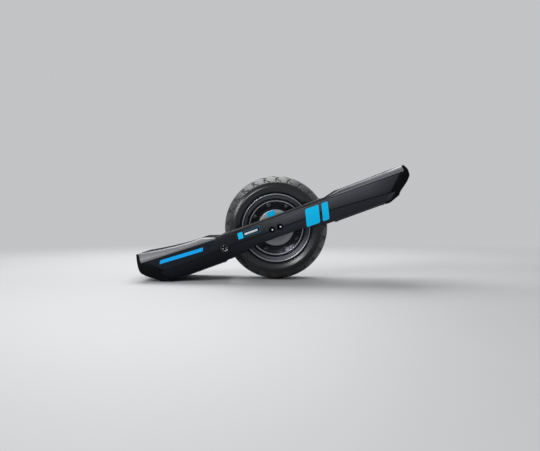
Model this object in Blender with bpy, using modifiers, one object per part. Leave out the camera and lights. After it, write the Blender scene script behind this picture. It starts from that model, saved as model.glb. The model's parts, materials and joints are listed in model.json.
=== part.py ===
"""A one-wheeled electric skateboard, parked with its tail on the floor.

Everything except the wheel is laid out in the board's own frame: the axle is at the origin, +X
runs forward along the deck, +Y to the rider's left and +Z up from the deck. The empty called
board then leans that frame back until the tail skid lies flat on the floor. Metres throughout.
"""

import math

import bmesh
import bpy
from mathutils import Vector

# Wheel
TYRE_RADIUS = 0.1435
TYRE_WIDTH = 0.165
CROWN_RADIUS = 0.158  # of the arc across the tread
TREAD_EDGE = 0.0055  # from the side of the tyre in to the edge of its tread
TREAD_PITCHES = 25
GROOVE_DEPTH = 0.0036
NOTCH_DEPTH = 0.0028
TYRE_WALL = 0.009
SHOULDER_DROP = 0.013  # from the edge of the tread down to the widest place
SECTION_HEIGHT = 0.064  # from the bead seat out to the crown
BEAD_WIDTH = 0.012
BEAD_SETBACK = 0.020  # from the side of the tyre in to its bead
FLANGE_HEIGHT = 0.0145
FLANGE_THICKNESS = 0.0065
WELL_DEPTH = 0.009
RIM_WALL = 0.0032
COVER_SETBACK = 0.013  # from the flange in to the bolted ring of a motor cover
COVER_THICKNESS = 0.005
COVER_RING_WIDTH = 0.0225
COVER_LIP_WIDTH = 0.005
COVER_LIP_HEIGHT = 0.0035
COVER_DISH = 0.004  # how deep the bolted ring falls towards the disc
COVER_DISC_STEP = 0.005
COVER_BOLTS = 8
COVER_BOLT_HEAD = 0.0042
VALVE_ANGLE = math.radians(158)
VALVE_FOOT = 0.0042

# Motor and axle
AXLE_RADIUS = 0.010
CABLE_BORE = 0.005
BEARING_RADIUS = 0.021
BEARING_WIDTH = 0.012
RACE_THICKNESS = 0.0034
MAGNET_COUNT = 16
MAGNET_THICKNESS = 0.003
ROTOR_THICKNESS = 0.004
STATOR_HALF_WIDTH = 0.019
AIR_GAP = 0.001
SLOT_COUNT = 12
SLOT_DEPTH = 0.017
COIL_HEAD_HEIGHT = 0.011

# Board
BOARD_HALF_LENGTH = 0.3835
SIDE_CLEARANCE = 0.0215  # between the tyre and a rail
END_CLEARANCE = 0.0115  # between the tyre and a box
RAIL_THICKNESS = 0.014
RAIL_TOP = 0.027
RAIL_BOTTOM = -0.036
WAIST_RISE = 0.0115
WAIST_HALF_LENGTH = 0.060
WAIST_RAMP_END = 0.130
CREASE_HEIGHT = -0.003
CREASE_END_HEIGHT = -0.015
REAR_CREASE_HEIGHT = -0.0045
REAR_FLARE = 0.0078  # how far the top of a rail rises along the battery box
TOP_LEAN = 0.002
UNDER_LEAN = 0.004
EDGE_BEVEL = 0.0016
CHANNEL_DEPTH = 0.006
CHANNEL_LIP = 0.008
TOP_SETBACK = 0.0208  # from the tip of the board back to the end of a rail
CREASE_SETBACK = 0.065
TONGUE_SETBACK = 0.0525
TONGUE_DROP = 0.0025  # from the end of the crease down to the tip of the tongue
TONGUE_HEEL_SETBACK = 0.0681
TONGUE_HEEL_RISE = 0.0025
BOTTOM_SETBACK = 0.0855
GAP = 0.0003  # between pieces that touch
RING_STEPS = 30  # flats round the rim and what fits inside it
SHAFT_STEPS = 16

# Bumpers
BELLY_DROP = 0.0042  # from the rails down to the underside
HEEL_LENGTH = 0.0111
SKID_LENGTH = 0.0289
BUMPER_WALL = 0.004
BUMPER_ROUNDING = 0.004
FRONT_LIP_RISE = 0.0155
REAR_LIP_RISE = 0.0345
LIP_THICKNESS = 0.004
PAD_SETBACK = 0.0115
LENS_DROP = 0.005
LENS_HEIGHT = 0.009
LENS_SIDE_MARGIN = 0.038
LENS_DEPTH = 0.003

# Footpads
PAD_OVERHANG = 0.006  # of the box's end wall beyond the pad
PAD_MARGIN = 0.0008
PAD_FIRST_STEP = 0.034
PAD_BASE = 0.0046
PAD_ROLL_WIDTH = 0.0135  # from the side of a pad in to its highest line
PAD_ROLL = 0.6  # share of a pad's rise that rolls off towards its side
GRIP_THICKNESS = 0.0028
SENSOR_THICKNESS = 0.0006
CONCAVE = 0.006
FRONT_PAD_RISE = 0.0128
REAR_PAD_RISE = 0.0160

# Boxes between the rails
BOX_BOTTOM_RISE = 0.0007
BOX_WALL = 0.0032
BOX_CHAMFER = 0.006
CELL_RADIUS = 0.0093
CELL_END_MARGIN = 0.002
BOARD_THICKNESS = 0.0016
BOARD_MARGIN = 0.010
BOARD_STANDOFF = 0.004
CHIP_HEIGHT = 0.007
POST_RADIUS = 0.003
FIN_COUNT = 9
FIN_HEIGHT = 0.008
FIN_ROOT = 0.003
SINK_MARGIN = 0.006
SINK_SIDE_MARGIN = 0.014
CAPACITOR_RADIUS = 0.009
CAPACITOR_HEIGHT = 0.025
CAPACITOR_SPACING = 0.030
SWITCH_LENGTH = 0.020
SWITCH_HEIGHT = 0.010

# Fittings
BOLT_SPACING = 0.023
BOLT_RADIUS = 0.004
BOLT_HEAD_RADIUS = 0.0068
BOLT_HEAD_HEIGHT = 0.0045
BOLT_SOCKET_RADIUS = 0.0035
BOLT_SOCKET_DEPTH = 0.0025
BOLT_RECESS_RADIUS = 0.008
BOLT_SEAT_WALL = 0.002
BOLT_GRIP = 0.014
BLOCK_HALF_LENGTH = 0.030
BLOCK_THICKNESS = 0.0252
BLOCK_BOSS_WALL = 0.008
BOSS_CLEARANCE = 0.006
PORT_MARGIN = 0.006
PORT_HEIGHT = -0.002
PORT_RADIUS = 0.0127
PORT_WALL = 0.0022
PORT_DEPTH = 0.0105
PIN_RADIUS = 0.0016
PIN_CIRCLE = 0.005
PIN_LENGTH = 0.0045
BUTTON_RADIUS = 0.0075
BUTTON_TRAVEL = 0.0015
BUTTON_DEPTH = 0.008
BEZEL_RADIUS = 0.0105
STRIP_HEIGHT = 0.0068
STRIP_WIDTH = 0.010
STRIP_TAPER = 0.014
STRIP_MARGIN = 0.003
POWER_CABLE_RADIUS = 0.0035
MOTOR_CABLE_RADIUS = 0.0045
CABLE_SETBACK = 0.007
SCREW_RADIUS = 0.002
SCREW_LENGTH = 0.0076
SCREW_HEAD_RADIUS = 0.0045
SCREW_HEAD_HEIGHT = 0.0023
SCREW_SOCKET_RADIUS = 0.0022
SCREW_MARGIN = 0.036

# Worked out: the wheel
TREAD_HALF_WIDTH = TYRE_WIDTH / 2 - TREAD_EDGE
BEAD_SEAT_RADIUS = TYRE_RADIUS - SECTION_HEIGHT
FLANGE_RADIUS = BEAD_SEAT_RADIUS + FLANGE_HEIGHT
FLANGE_PLANE = TYRE_WIDTH / 2 - BEAD_SETBACK
COVER_RADIUS = BEAD_SEAT_RADIUS - RIM_WALL - GAP
COVER_PLANE = FLANGE_PLANE - COVER_SETBACK
COVER_DISC_RADIUS = COVER_RADIUS - COVER_RING_WIDTH
COVER_BOLT_CIRCLE = COVER_RADIUS - COVER_RING_WIDTH / 2
DISC_PLANE = COVER_PLANE + COVER_DISC_STEP
BEARING_FACE = DISC_PLANE - 0.002
BORE_RADIUS = BEAD_SEAT_RADIUS - WELL_DEPTH - RIM_WALL

# Worked out: the board
RAIL_INNER = TYRE_WIDTH / 2 + SIDE_CLEARANCE
RAIL_OUTER = RAIL_INNER + RAIL_THICKNESS
WAIST_BOTTOM = RAIL_BOTTOM + WAIST_RISE
CHANNEL_FLOOR = RAIL_INNER + CHANNEL_DEPTH
RAIL_END_TOP = BOARD_HALF_LENGTH - TOP_SETBACK
RAIL_END_CREASE = BOARD_HALF_LENGTH - CREASE_SETBACK
TONGUE_TIP = BOARD_HALF_LENGTH - TONGUE_SETBACK
TONGUE_HEEL = BOARD_HALF_LENGTH - TONGUE_HEEL_SETBACK
RAIL_END_BOTTOM = BOARD_HALF_LENGTH - BOTTOM_SETBACK
UNDERSIDE = RAIL_BOTTOM - BELLY_DROP
SKID_START = RAIL_END_BOTTOM + HEEL_LENGTH
SKID_END = SKID_START + SKID_LENGTH
REACH_TO_HEEL = math.hypot(SKID_START, UNDERSIDE)
REST_PITCH = math.asin(TYRE_RADIUS / REACH_TO_HEEL) - math.atan2(-UNDERSIDE, SKID_START)
SIN_PITCH = math.sin(REST_PITCH)
COS_PITCH = math.cos(REST_PITCH)
FRONT_LIP_TOP = RAIL_TOP + FRONT_LIP_RISE
REAR_LIP_TOP = RAIL_TOP + REAR_LIP_RISE
LENS_TOP = RAIL_TOP - LENS_DROP
LENS_BOTTOM = LENS_TOP - LENS_HEIGHT
LENS_HALF_WIDTH = RAIL_OUTER - LENS_SIDE_MARGIN
BOX_START = TYRE_RADIUS + END_CLEARANCE
BOX_END = RAIL_END_BOTTOM
BOX_BOTTOM = UNDERSIDE + BOX_BOTTOM_RISE
BOX_HALF_WIDTH = RAIL_INNER - GAP
PAD_SEAT = RAIL_TOP + GAP
PAD_START = BOX_START + PAD_OVERHANG
PAD_END = BOARD_HALF_LENGTH - PAD_SETBACK
PAD_HALF_WIDTH = RAIL_OUTER - PAD_MARGIN

# Worked out: the fittings
BOLT_RECESS_DEPTH = RAIL_THICKNESS - CHANNEL_DEPTH - BOLT_SEAT_WALL
BOLT_END = CHANNEL_FLOOR - BOLT_GRIP
AXLE_END = BOLT_END - 5 * GAP
BLOCK_OUTER = CHANNEL_FLOOR - GAP
BLOCK_INNER = BLOCK_OUTER - BLOCK_THICKNESS
BLOCK_BOSS_RADIUS = AXLE_RADIUS + BLOCK_BOSS_WALL
BLOCK_BOSS_END = DISC_PLANE + BOSS_CLEARANCE
PORT_PLACE = PORT_MARGIN - BOX_START
PORT_FLOOR = RAIL_OUTER - PORT_DEPTH
STRIP_START = STRIP_MARGIN - BOX_START
STRIP_END = BOX_START
CABLE_PLACE = RAIL_INNER - CABLE_SETBACK
SCREW_PLACE = RAIL_OUTER - SCREW_MARGIN

FINISHES = {
    "rubber": ((0.018, 0.019, 0.021), 0.55, 0.0),
    "rim_black": ((0.03, 0.032, 0.036), 0.35, 0.9),
    "cover_grey": ((0.22, 0.23, 0.25), 0.4, 0.9),
    "rail_charcoal": ((0.055, 0.058, 0.066), 0.42, 0.8),
    "bumper_black": ((0.02, 0.021, 0.024), 0.6, 0.0),
    "pad_core": ((0.03, 0.031, 0.034), 0.7, 0.0),
    "grip_black": ((0.05, 0.052, 0.056), 0.92, 0.0),
    "trim_black": ((0.012, 0.012, 0.014), 0.5, 0.0),
    "steel": ((0.55, 0.56, 0.58), 0.3, 1.0),
    "bolt_black": ((0.02, 0.02, 0.022), 0.35, 0.9),
    "copper": ((0.72, 0.36, 0.2), 0.4, 1.0),
    "board_green": ((0.02, 0.16, 0.08), 0.5, 0.0),
    "cell_wrap": ((0.05, 0.2, 0.45), 0.45, 0.0),
    "box_black": ((0.03, 0.031, 0.035), 0.55, 0.0),
    "aluminium": ((0.6, 0.61, 0.63), 0.4, 1.0),
    "lens": ((0.75, 0.77, 0.8), 0.15, 0.0),
    "cable_black": ((0.015, 0.015, 0.017), 0.5, 0.0),
}


def clear_scene():
    for obj in list(bpy.data.objects):
        bpy.data.objects.remove(obj, do_unlink=True)


def new_collection(name):
    collection = bpy.data.collections.new(name)
    bpy.context.scene.collection.children.link(collection)
    return collection


def make_finishes():
    made = {}
    for name, (colour, roughness, metallic) in FINISHES.items():
        material = bpy.data.materials.new(name)
        material.use_nodes = True
        shader = material.node_tree.nodes["Principled BSDF"]
        shader.inputs["Base Color"].default_value = (*colour, 1)
        shader.inputs["Roughness"].default_value = roughness
        shader.inputs["Metallic"].default_value = metallic
        made[name] = material
    return made


def new_empty(name, collection, parent=None):
    empty = bpy.data.objects.new(name, None)
    empty.parent = parent
    empty.empty_display_size = 0.05
    collection.objects.link(empty)
    return empty


class Shop:
    """Where finished pieces and cutters go, so that each function below only names its own."""

    def __init__(self):
        self.pieces = new_collection("one_wheeled_skateboard")
        self.cutters = new_collection("cutters")
        self.finishes = make_finishes()
        self.board = new_empty("board", self.pieces)
        self.wheel = new_empty("wheel", self.pieces, self.board)

    def keep(self, obj, finish, parent=None):
        """Make an object a piece of the board, or of the parent given."""
        self.pieces.objects.link(obj)
        obj.parent = parent or self.board
        obj.data.materials.clear()
        obj.data.materials.append(self.finishes[finish])
        return obj

    def combine(self, target, other, operation="DIFFERENCE"):
        """Cut other from target, or add it, keeping other as a hidden helper."""
        if other.name not in self.cutters.objects:
            self.cutters.objects.link(other)
            other.parent = target.parent
            other.hide_render = True
            other.display_type = "WIRE"
        modifier = target.modifiers.new(operation.lower(), "BOOLEAN")
        modifier.operation = operation
        modifier.object = other
        modifier.solver = "EXACT"


def object_from(bm, name):
    bmesh.ops.recalc_face_normals(bm, faces=bm.faces[:])
    mesh = bpy.data.meshes.new(name)
    bm.to_mesh(mesh)
    bm.free()
    return bpy.data.objects.new(name, mesh)


def signed_area(points):
    pairs = zip(points, points[1:] + points[:1])
    return sum(a[0] * b[1] - b[0] * a[1] for a, b in pairs) / 2


def turned(name, profile, steps, place=(0, 0, 0), outward=1):
    """Turn a profile of (radius, distance along Y) points about the Y axis through place."""
    points = [(radius, outward * along) for radius, along in profile]
    if signed_area(points) > 0:
        points.reverse()
    on_axis = [index for index, point in enumerate(points) if point[0] == 0]
    bm = bmesh.new()
    if on_axis:
        first = next(i for i in on_axis if (i - 1) % len(points) in on_axis)
        points = points[first:] + points[:first]
    verts = [bm.verts.new((radius, 0, along)) for radius, along in points]
    for a, b in zip(verts, verts[1:]):
        bm.edges.new((a, b))
    if not on_axis:
        bm.edges.new((verts[-1], verts[0]))
    mesh = bpy.data.meshes.new(name)
    bm.to_mesh(mesh)
    bm.free()
    obj = bpy.data.objects.new(name, mesh)
    screw = obj.modifiers.new("turn", "SCREW")
    screw.axis = "Z"
    screw.angle = math.tau
    screw.steps = steps
    screw.render_steps = steps
    screw.use_merge_vertices = True
    screw.merge_threshold = 0.00001
    obj.location = place
    obj.rotation_euler = (-math.pi / 2, 0, 0)
    return obj


FACINGS = {
    "side": (math.pi / 2, 0, 0),  # outline in X and Z, thickness along Y
    "plan": (0, 0, 0),  # outline in X and Y, thickness along Z
    "front": (math.pi / 2, 0, math.pi / 2),  # outline in Y and Z, thickness along X
}


def plate(name, outlines, facing, low, high):
    """A mesh of one or more closed outlines, thick from low to high along the third axis."""
    curve = bpy.data.curves.new(name + "_outline", "CURVE")
    curve.dimensions = "2D"
    curve.fill_mode = "BOTH"
    curve.extrude = (high - low) / 2
    for outline in outlines:
        spline = curve.splines.new("POLY")
        spline.points.add(len(outline) - 1)
        for point, (u, v) in zip(spline.points, outline):
            point.co = (u, v, 0, 1)
        spline.use_cyclic_u = True
    drawn = bpy.data.objects.new(name + "_outline", curve)
    bpy.context.scene.collection.objects.link(drawn)
    graph = bpy.context.evaluated_depsgraph_get()
    mesh = bpy.data.meshes.new_from_object(drawn.evaluated_get(graph))
    bpy.data.objects.remove(drawn, do_unlink=True)
    bm = bmesh.new()
    bm.from_mesh(mesh)
    bpy.data.meshes.remove(mesh)
    bmesh.ops.remove_doubles(bm, verts=bm.verts[:], dist=0.000001)
    bmesh.ops.dissolve_limit(bm, angle_limit=0.001, verts=bm.verts[:], edges=bm.edges[:])
    obj = object_from(bm, name)
    middle = (low + high) / 2
    obj.location = {
        "side": (0, middle, 0),
        "plan": (0, 0, middle),
        "front": (middle, 0, 0),
    }[facing]
    obj.rotation_euler = FACINGS[facing]
    return obj


def rectangle(u0, v0, u1, v1):
    return [(u0, v0), (u1, v0), (u1, v1), (u0, v1)]


def arc(centre, radius, start, end, count):
    """Points on an arc, both ends included."""
    angles = [start + (end - start) * i / (count - 1) for i in range(count)]
    return [
        (centre[0] + radius * math.cos(a), centre[1] + radius * math.sin(a)) for a in angles
    ]


def circle(radius, count):
    return arc((0, 0), radius, 0, math.tau * (count - 1) / count, count)


def block(name, low, high):
    """A box between two corners."""
    bm = bmesh.new()
    bmesh.ops.create_cube(bm, size=1)
    for vert in bm.verts:
        for axis in range(3):
            vert.co[axis] = low[axis] + (vert.co[axis] + 0.5) * (high[axis] - low[axis])
    return object_from(bm, name)


def rods(name, ends, radius, sides):
    """Straight round rods, one for each (start, end) pair, in one mesh."""
    bm = bmesh.new()
    for start, end in ends:
        along = [b - a for a, b in zip(start, end)]
        length = math.sqrt(sum(d * d for d in along))
        made = bmesh.ops.create_cone(
            bm,
            cap_ends=True,
            segments=sides,
            radius1=radius,
            radius2=radius,
            depth=length,
        )
        turn = turn_from_z([d / length for d in along])
        middle = [(a + b) / 2 for a, b in zip(start, end)]
        bmesh.ops.rotate(bm, matrix=turn, verts=made["verts"])
        bmesh.ops.translate(bm, vec=middle, verts=made["verts"])
    return object_from(bm, name)


def turn_from_z(direction):
    """The rotation that turns +Z to a direction."""
    return Vector((0, 0, 1)).rotation_difference(Vector(direction)).to_matrix()


def loft(name, rings):
    """Join rings of equally many points in order, and close both ends."""
    bm = bmesh.new()
    made = [[bm.verts.new(point) for point in ring] for ring in rings]
    for ring, following in zip(made, made[1:]):
        for i in range(len(ring)):
            j = (i + 1) % len(ring)
            bm.faces.new((ring[i], ring[j], following[j], following[i]))
    bm.faces.new(made[0])
    bm.faces.new(made[-1])
    return object_from(bm, name)


def rounded(obj, width, segments, angle=50):
    bevel = obj.modifiers.new("rounding", "BEVEL")
    bevel.width = width
    bevel.segments = segments
    bevel.limit_method = "ANGLE"
    bevel.angle_limit = math.radians(angle)
    return obj


def rounded_where(obj, width, segments, chosen):
    """Round only the edges whose middle, in the object's own axes, passes a test."""
    mesh = obj.data
    weights = mesh.attributes.new("bevel_weight_edge", "FLOAT", "EDGE")
    for edge in mesh.edges:
        a, b = (mesh.vertices[i].co for i in edge.vertices)
        weights.data[edge.index].value = 1.0 if chosen((a + b) / 2) else 0.0
    bevel = obj.modifiers.new("rounding", "BEVEL")
    bevel.width = width
    bevel.segments = segments
    bevel.limit_method = "WEIGHT"
    return obj


def smooth_route(points, per_span):
    """A Catmull-Rom curve through the points."""
    padded = [points[0]] + list(points) + [points[-1]]
    route = []
    for a, b, c, d in zip(padded, padded[1:], padded[2:], padded[3:]):
        for step in range(per_span):
            t = step / per_span
            route.append(
                tuple(
                    0.5
                    * (
                        2 * q
                        + (r - p) * t
                        + (2 * p - 5 * q + 4 * r - s) * t * t
                        + (3 * q - p - 3 * r + s) * t**3
                    )
                    for p, q, r, s in zip(a, b, c, d)
                )
            )
    return route + [tuple(points[-1])]


def cable(name, points, radius, per_span=2):
    """A cable whose first and last stretches run straight, square to what they meet."""
    curve = bpy.data.curves.new(name, "CURVE")
    curve.dimensions = "3D"
    curve.bevel_depth = radius
    curve.bevel_resolution = 2
    curve.use_fill_caps = True
    route = [points[0]] + smooth_route(points[1:-1], per_span) + [points[-1]]
    spline = curve.splines.new("POLY")
    spline.points.add(len(route) - 1)
    for point, place in zip(spline.points, route):
        point.co = (*place, 1)
    return bpy.data.objects.new(name, curve)


# The wheel


def crown(along):
    """Radius of the tread surface at a distance from the wheel's middle."""
    return TYRE_RADIUS - CROWN_RADIUS + math.sqrt(CROWN_RADIUS**2 - along**2)


def tyre_rings():
    """Rings of half the tyre, from the crown over the shoulder and bead to the crown inside.

    A ring is (distance from the middle, radius, how far the tread leans round the wheel there,
    its points in one pitch). A point is (place within the pitch, depth below the surface).
    """
    half = TYRE_WIDTH / 2
    groove = 0.075
    notch = 0.50
    single = [(0.0, 0.0)]
    double = [(0.0, 0.0), (notch, 0.0)]
    cut = [(-groove, 0.0), (0.0, GROOVE_DEPTH), (groove, 0.0)]
    notched = [(notch - groove, 0.0), (notch, NOTCH_DEPTH), (notch + groove, 0.0)]
    rings = [
        (0.0, TYRE_RADIUS, 1.0, double),
        (0.24 * TREAD_HALF_WIDTH, None, 0.95, double),
        (0.58 * TREAD_HALF_WIDTH, None, 0.28, cut + double[1:]),
        (0.68 * TREAD_HALF_WIDTH, None, 0.55, cut + double[1:]),
        (TREAD_HALF_WIDTH, None, 0.0, cut + notched),
    ]
    rings = [
        (along, radius or crown(along), lean, points)
        for along, radius, lean, points in rings
    ]
    shoulder = crown(TREAD_HALF_WIDTH)
    widest = shoulder - SHOULDER_DROP
    inner_half = half - TYRE_WALL * 0.8
    seat = BEAD_SEAT_RADIUS + GAP
    bead_plane = FLANGE_PLANE - GAP
    rings += [
        (half - 0.002, shoulder - 0.6 * SHOULDER_DROP, 0.0, double),
        (half, widest, 0.0, double),
        (half - 0.0025, widest - 0.48 * (widest - FLANGE_RADIUS), 0.0, double),
        (half - 0.0115, FLANGE_RADIUS + 0.0025, 0.0, double),
        (bead_plane, FLANGE_RADIUS + GAP, 0.0, double),
        (bead_plane, seat, 0.0, double),
        (bead_plane - BEAD_WIDTH, seat, 0.0, double),
        (bead_plane - 0.7 * BEAD_WIDTH, FLANGE_RADIUS, 0.0, single),
        (inner_half, widest, 0.0, single),
        (TREAD_HALF_WIDTH - TYRE_WALL, shoulder - TYRE_WALL * 0.6, 0.0, single),
        (0.0, TYRE_RADIUS - TYRE_WALL, 0.0, single),
    ]
    return rings


def make_tyre(shop):
    """The tread is lofted a pitch at a time: lightning-shaped grooves with a notch between."""
    bm = bmesh.new()
    made = []
    for along, radius, lean, points in tyre_rings():
        ring = []
        for pitch in range(TREAD_PITCHES):
            for place, depth in points:
                angle = math.tau * (pitch + place + lean) / TREAD_PITCHES - math.pi / 2
                reach = radius - depth
                vert = bm.verts.new(
                    (reach * math.cos(angle), along, reach * math.sin(angle))
                )
                ring.append((pitch + place, vert))
        made.append(ring)
    for ring, following in zip(made, made[1:]):
        stitch(bm, ring, following)
    tyre = object_from(bm, "tyre")
    mirror = tyre.modifiers.new("other_half", "MIRROR")
    mirror.use_axis = (False, True, False)
    mirror.merge_threshold = 0.00001
    shop.keep(tyre, "rubber", shop.wheel)


def stitch(bm, ring, following):
    """Triangles between two closed rings whose points are (place, vertex) in order of place."""
    i = j = 0
    while i < len(ring) or j < len(following):
        a = ring[i % len(ring)][1]
        b = following[j % len(following)][1]
        next_a = place_of(ring, i + 1)
        next_b = place_of(following, j + 1)
        if j >= len(following) or (i < len(ring) and next_a <= next_b):
            bm.faces.new((a, ring[(i + 1) % len(ring)][1], b))
            i += 1
        else:
            bm.faces.new((a, following[(j + 1) % len(following)][1], b))
            j += 1


def place_of(ring, index):
    return ring[index % len(ring)][0] + TREAD_PITCHES * (index // len(ring))


def make_rim(shop):
    lip = FLANGE_PLANE + FLANGE_THICKNESS
    well = BEAD_SEAT_RADIUS - WELL_DEPTH
    back = COVER_PLANE - COVER_THICKNESS - GAP
    half = [
        (well, 0.5 * FLANGE_PLANE),
        (BEAD_SEAT_RADIUS - 0.001, 0.6 * FLANGE_PLANE),
        (BEAD_SEAT_RADIUS, FLANGE_PLANE),
        (FLANGE_RADIUS, FLANGE_PLANE + 0.002),
        (FLANGE_RADIUS - 0.001, lip),
        (FLANGE_RADIUS - 0.0045, lip - 0.0005),
        (FLANGE_RADIUS - 0.006, lip - 0.0028),
        (COVER_RADIUS + 0.0035, lip - 0.0038),
        (COVER_RADIUS + GAP, lip - 0.012),
        (COVER_RADIUS + GAP, back),
        (BORE_RADIUS, back),
    ]
    mirrored = [(radius, -along) for radius, along in reversed(half)]
    rim = shop.keep(turned("hub_rim", half + mirrored, RING_STEPS), "rim_black", shop.wheel)
    make_valve(shop, rim)


def make_rotor(shop):
    """The steel ring inside the rim, with its magnets."""
    outer = BORE_RADIUS - GAP
    inner = outer - ROTOR_THICKNESS
    tip = inner - MAGNET_THICKNESS
    pitch = math.tau / MAGNET_COUNT
    teeth = []
    for i in range(MAGNET_COUNT):
        start = i * pitch
        teeth += arc((0, 0), inner, start, start + 0.2 * pitch, 2)
        teeth += arc((0, 0), tip, start + 0.2 * pitch, start + pitch, 2)
    rim = circle(outer, RING_STEPS)
    half = STATOR_HALF_WIDTH + 0.004
    rotor = plate("rotor_ring", [rim, teeth], "side", -half, half)
    shop.keep(rotor, "steel", shop.wheel)


def make_motor_covers(shop):
    """A lip, a dished ring of bolts and a raised disc over the bearing."""
    for side, outward in (("left", 1), ("right", -1)):
        back = COVER_PLANE - COVER_THICKNESS
        lip = COVER_PLANE + COVER_LIP_HEIGHT
        ring_inner = COVER_DISC_RADIUS + 0.004
        bearing_back = BEARING_FACE - BEARING_WIDTH - 2 * GAP
        profile = [
            (COVER_RADIUS, back),
            (COVER_RADIUS, lip - 0.0015),
            (COVER_RADIUS - COVER_LIP_WIDTH / 2, lip),
            (COVER_RADIUS - COVER_LIP_WIDTH, COVER_PLANE),
            (ring_inner, COVER_PLANE - COVER_DISH),
            (COVER_DISC_RADIUS, DISC_PLANE),
            (AXLE_RADIUS + 0.0015, DISC_PLANE),
            (AXLE_RADIUS + 0.0015, BEARING_FACE),
            (BEARING_RADIUS + GAP, BEARING_FACE),
            (BEARING_RADIUS + GAP, bearing_back),
            (ring_inner, back - COVER_DISH),
            (BORE_RADIUS - GAP, back),
        ]
        cover = turned(f"motor_cover_{side}", profile, RING_STEPS, outward=outward)
        shop.keep(cover, "cover_grey", shop.wheel)
        heads = []
        for i in range(COVER_BOLTS):
            angle = math.tau * (i + 0.4) / COVER_BOLTS
            x = COVER_BOLT_CIRCLE * math.cos(angle)
            z = COVER_BOLT_CIRCLE * math.sin(angle)
            low = outward * (COVER_PLANE - COVER_DISH)
            high = outward * (COVER_PLANE - COVER_DISH / 2 + COVER_BOLT_HEAD)
            heads.append(((x, low, z), (x, high, z)))
        bolts = rods(f"cover_bolts_{side}", heads, COVER_BOLT_HEAD, 6)
        shop.combine(cover, bolts, "UNION")


def make_valve(shop, rim):
    """A stem seated in a pocket of the rim's side wall, inside the flange."""
    radius = BEAD_SEAT_RADIUS + VALVE_FOOT
    floor = FLANGE_PLANE + 0.002
    base = floor + GAP
    stem = [
        (0.0, base),
        (VALVE_FOOT, base),
        (VALVE_FOOT, base + 0.004),
        (VALVE_FOOT * 0.65, base + 0.006),
        (VALVE_FOOT * 0.65, base + 0.013),
        (0.0, base + 0.013),
    ]
    x = radius * math.cos(VALVE_ANGLE)
    z = radius * math.sin(VALVE_ANGLE)
    shop.keep(turned("valve_stem", stem, 8, (x, 0, z), -1), "rubber", shop.wheel)
    ends = [((x, -floor, z), (x, -floor - 0.02, z))]
    shop.combine(rim, rods("valve_pocket", ends, VALVE_FOOT + GAP, 12))


def make_bearings(shop):
    for side, outward in (("left", 1), ("right", -1)):
        face = BEARING_FACE - GAP
        back = face - BEARING_WIDTH
        middle = (face + back) / 2
        seat = BEARING_RADIUS
        outer = [
            (seat, back),
            (seat, face),
            (seat - RACE_THICKNESS, face),
            (seat - RACE_THICKNESS, back),
        ]
        low = AXLE_RADIUS + GAP
        top = low + RACE_THICKNESS
        cage = (seat - RACE_THICKNESS) * math.cos(math.pi / SHAFT_STEPS) - GAP
        inner = [
            (low, back),
            (low, face),
            (top, face),
            (cage, middle + 0.0015),
            (cage, middle - 0.0015),
            (top, back),
        ]
        name = f"bearing_{side}_outer_race"
        shop.keep(turned(name, outer, SHAFT_STEPS, outward=outward), "steel", shop.wheel)
        name = f"bearing_{side}_inner_race"
        shop.keep(turned(name, inner, SHAFT_STEPS, outward=outward), "steel")


def make_stator(shop):
    tip = BORE_RADIUS - GAP - ROTOR_THICKNESS - MAGNET_THICKNESS - AIR_GAP
    root = tip - SLOT_DEPTH
    bore = AXLE_RADIUS + GAP
    pitch = math.tau / SLOT_COUNT
    teeth = []
    for i in range(SLOT_COUNT):
        start = i * pitch
        teeth += arc((0, 0), root, start + 0.22 * pitch, start + 0.78 * pitch, 2)
        teeth += arc((0, 0), tip, start + 0.78 * pitch, start + 1.22 * pitch, 3)
    hole = circle(bore, SHAFT_STEPS)
    core = plate(
        "stator_core", [teeth, hole], "side", -STATOR_HALF_WIDTH, STATOR_HALF_WIDTH
    )
    shop.keep(core, "steel")
    make_windings(shop, root, tip)


def make_windings(shop, root, tip):
    """Coil heads at both sides of the core, joined by the wire in its slots."""
    inner = root + 0.0015
    outer = tip - 0.0025
    start = STATOR_HALF_WIDTH + GAP
    crest = start + COIL_HEAD_HEIGHT
    head = [
        (outer, start),
        (outer, crest - 0.004),
        ((inner + outer) / 2, crest),
        (inner, crest - 0.004),
        (inner, start),
    ]
    windings = turned("stator_windings", head, 18)
    shop.keep(windings, "copper")
    other = turned("other_coil_heads", head, 18, outward=-1)
    shop.combine(windings, other, "UNION")
    bars = []
    middle = (inner + outer) / 2
    radius = (outer - inner) / 2 - 0.0035
    for i in range(SLOT_COUNT):
        angle = math.tau * (i + 0.5) / SLOT_COUNT
        x = middle * math.cos(angle)
        z = middle * math.sin(angle)
        bars.append(((x, -start - 0.002, z), (x, start + 0.002, z)))
    shop.combine(windings, rods("slot_wires", bars, radius, 5), "UNION")


def make_axle(shop):
    """A fixed hollow shaft, with collars that space the bearings from the stator."""
    collar = BEARING_FACE - BEARING_WIDTH - 2 * GAP
    half = [
        (AXLE_RADIUS, AXLE_END),
        (AXLE_RADIUS, collar),
        (AXLE_RADIUS + 0.003, collar),
        (AXLE_RADIUS + 0.003, STATOR_HALF_WIDTH + GAP),
        (AXLE_RADIUS, STATOR_HALF_WIDTH + GAP),
    ]
    mirrored = [(radius, -along) for radius, along in reversed(half)]
    bore = [(CABLE_BORE, -AXLE_END), (CABLE_BORE, AXLE_END)]
    shop.keep(turned("axle", half + mirrored + bore, SHAFT_STEPS), "steel")


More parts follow.
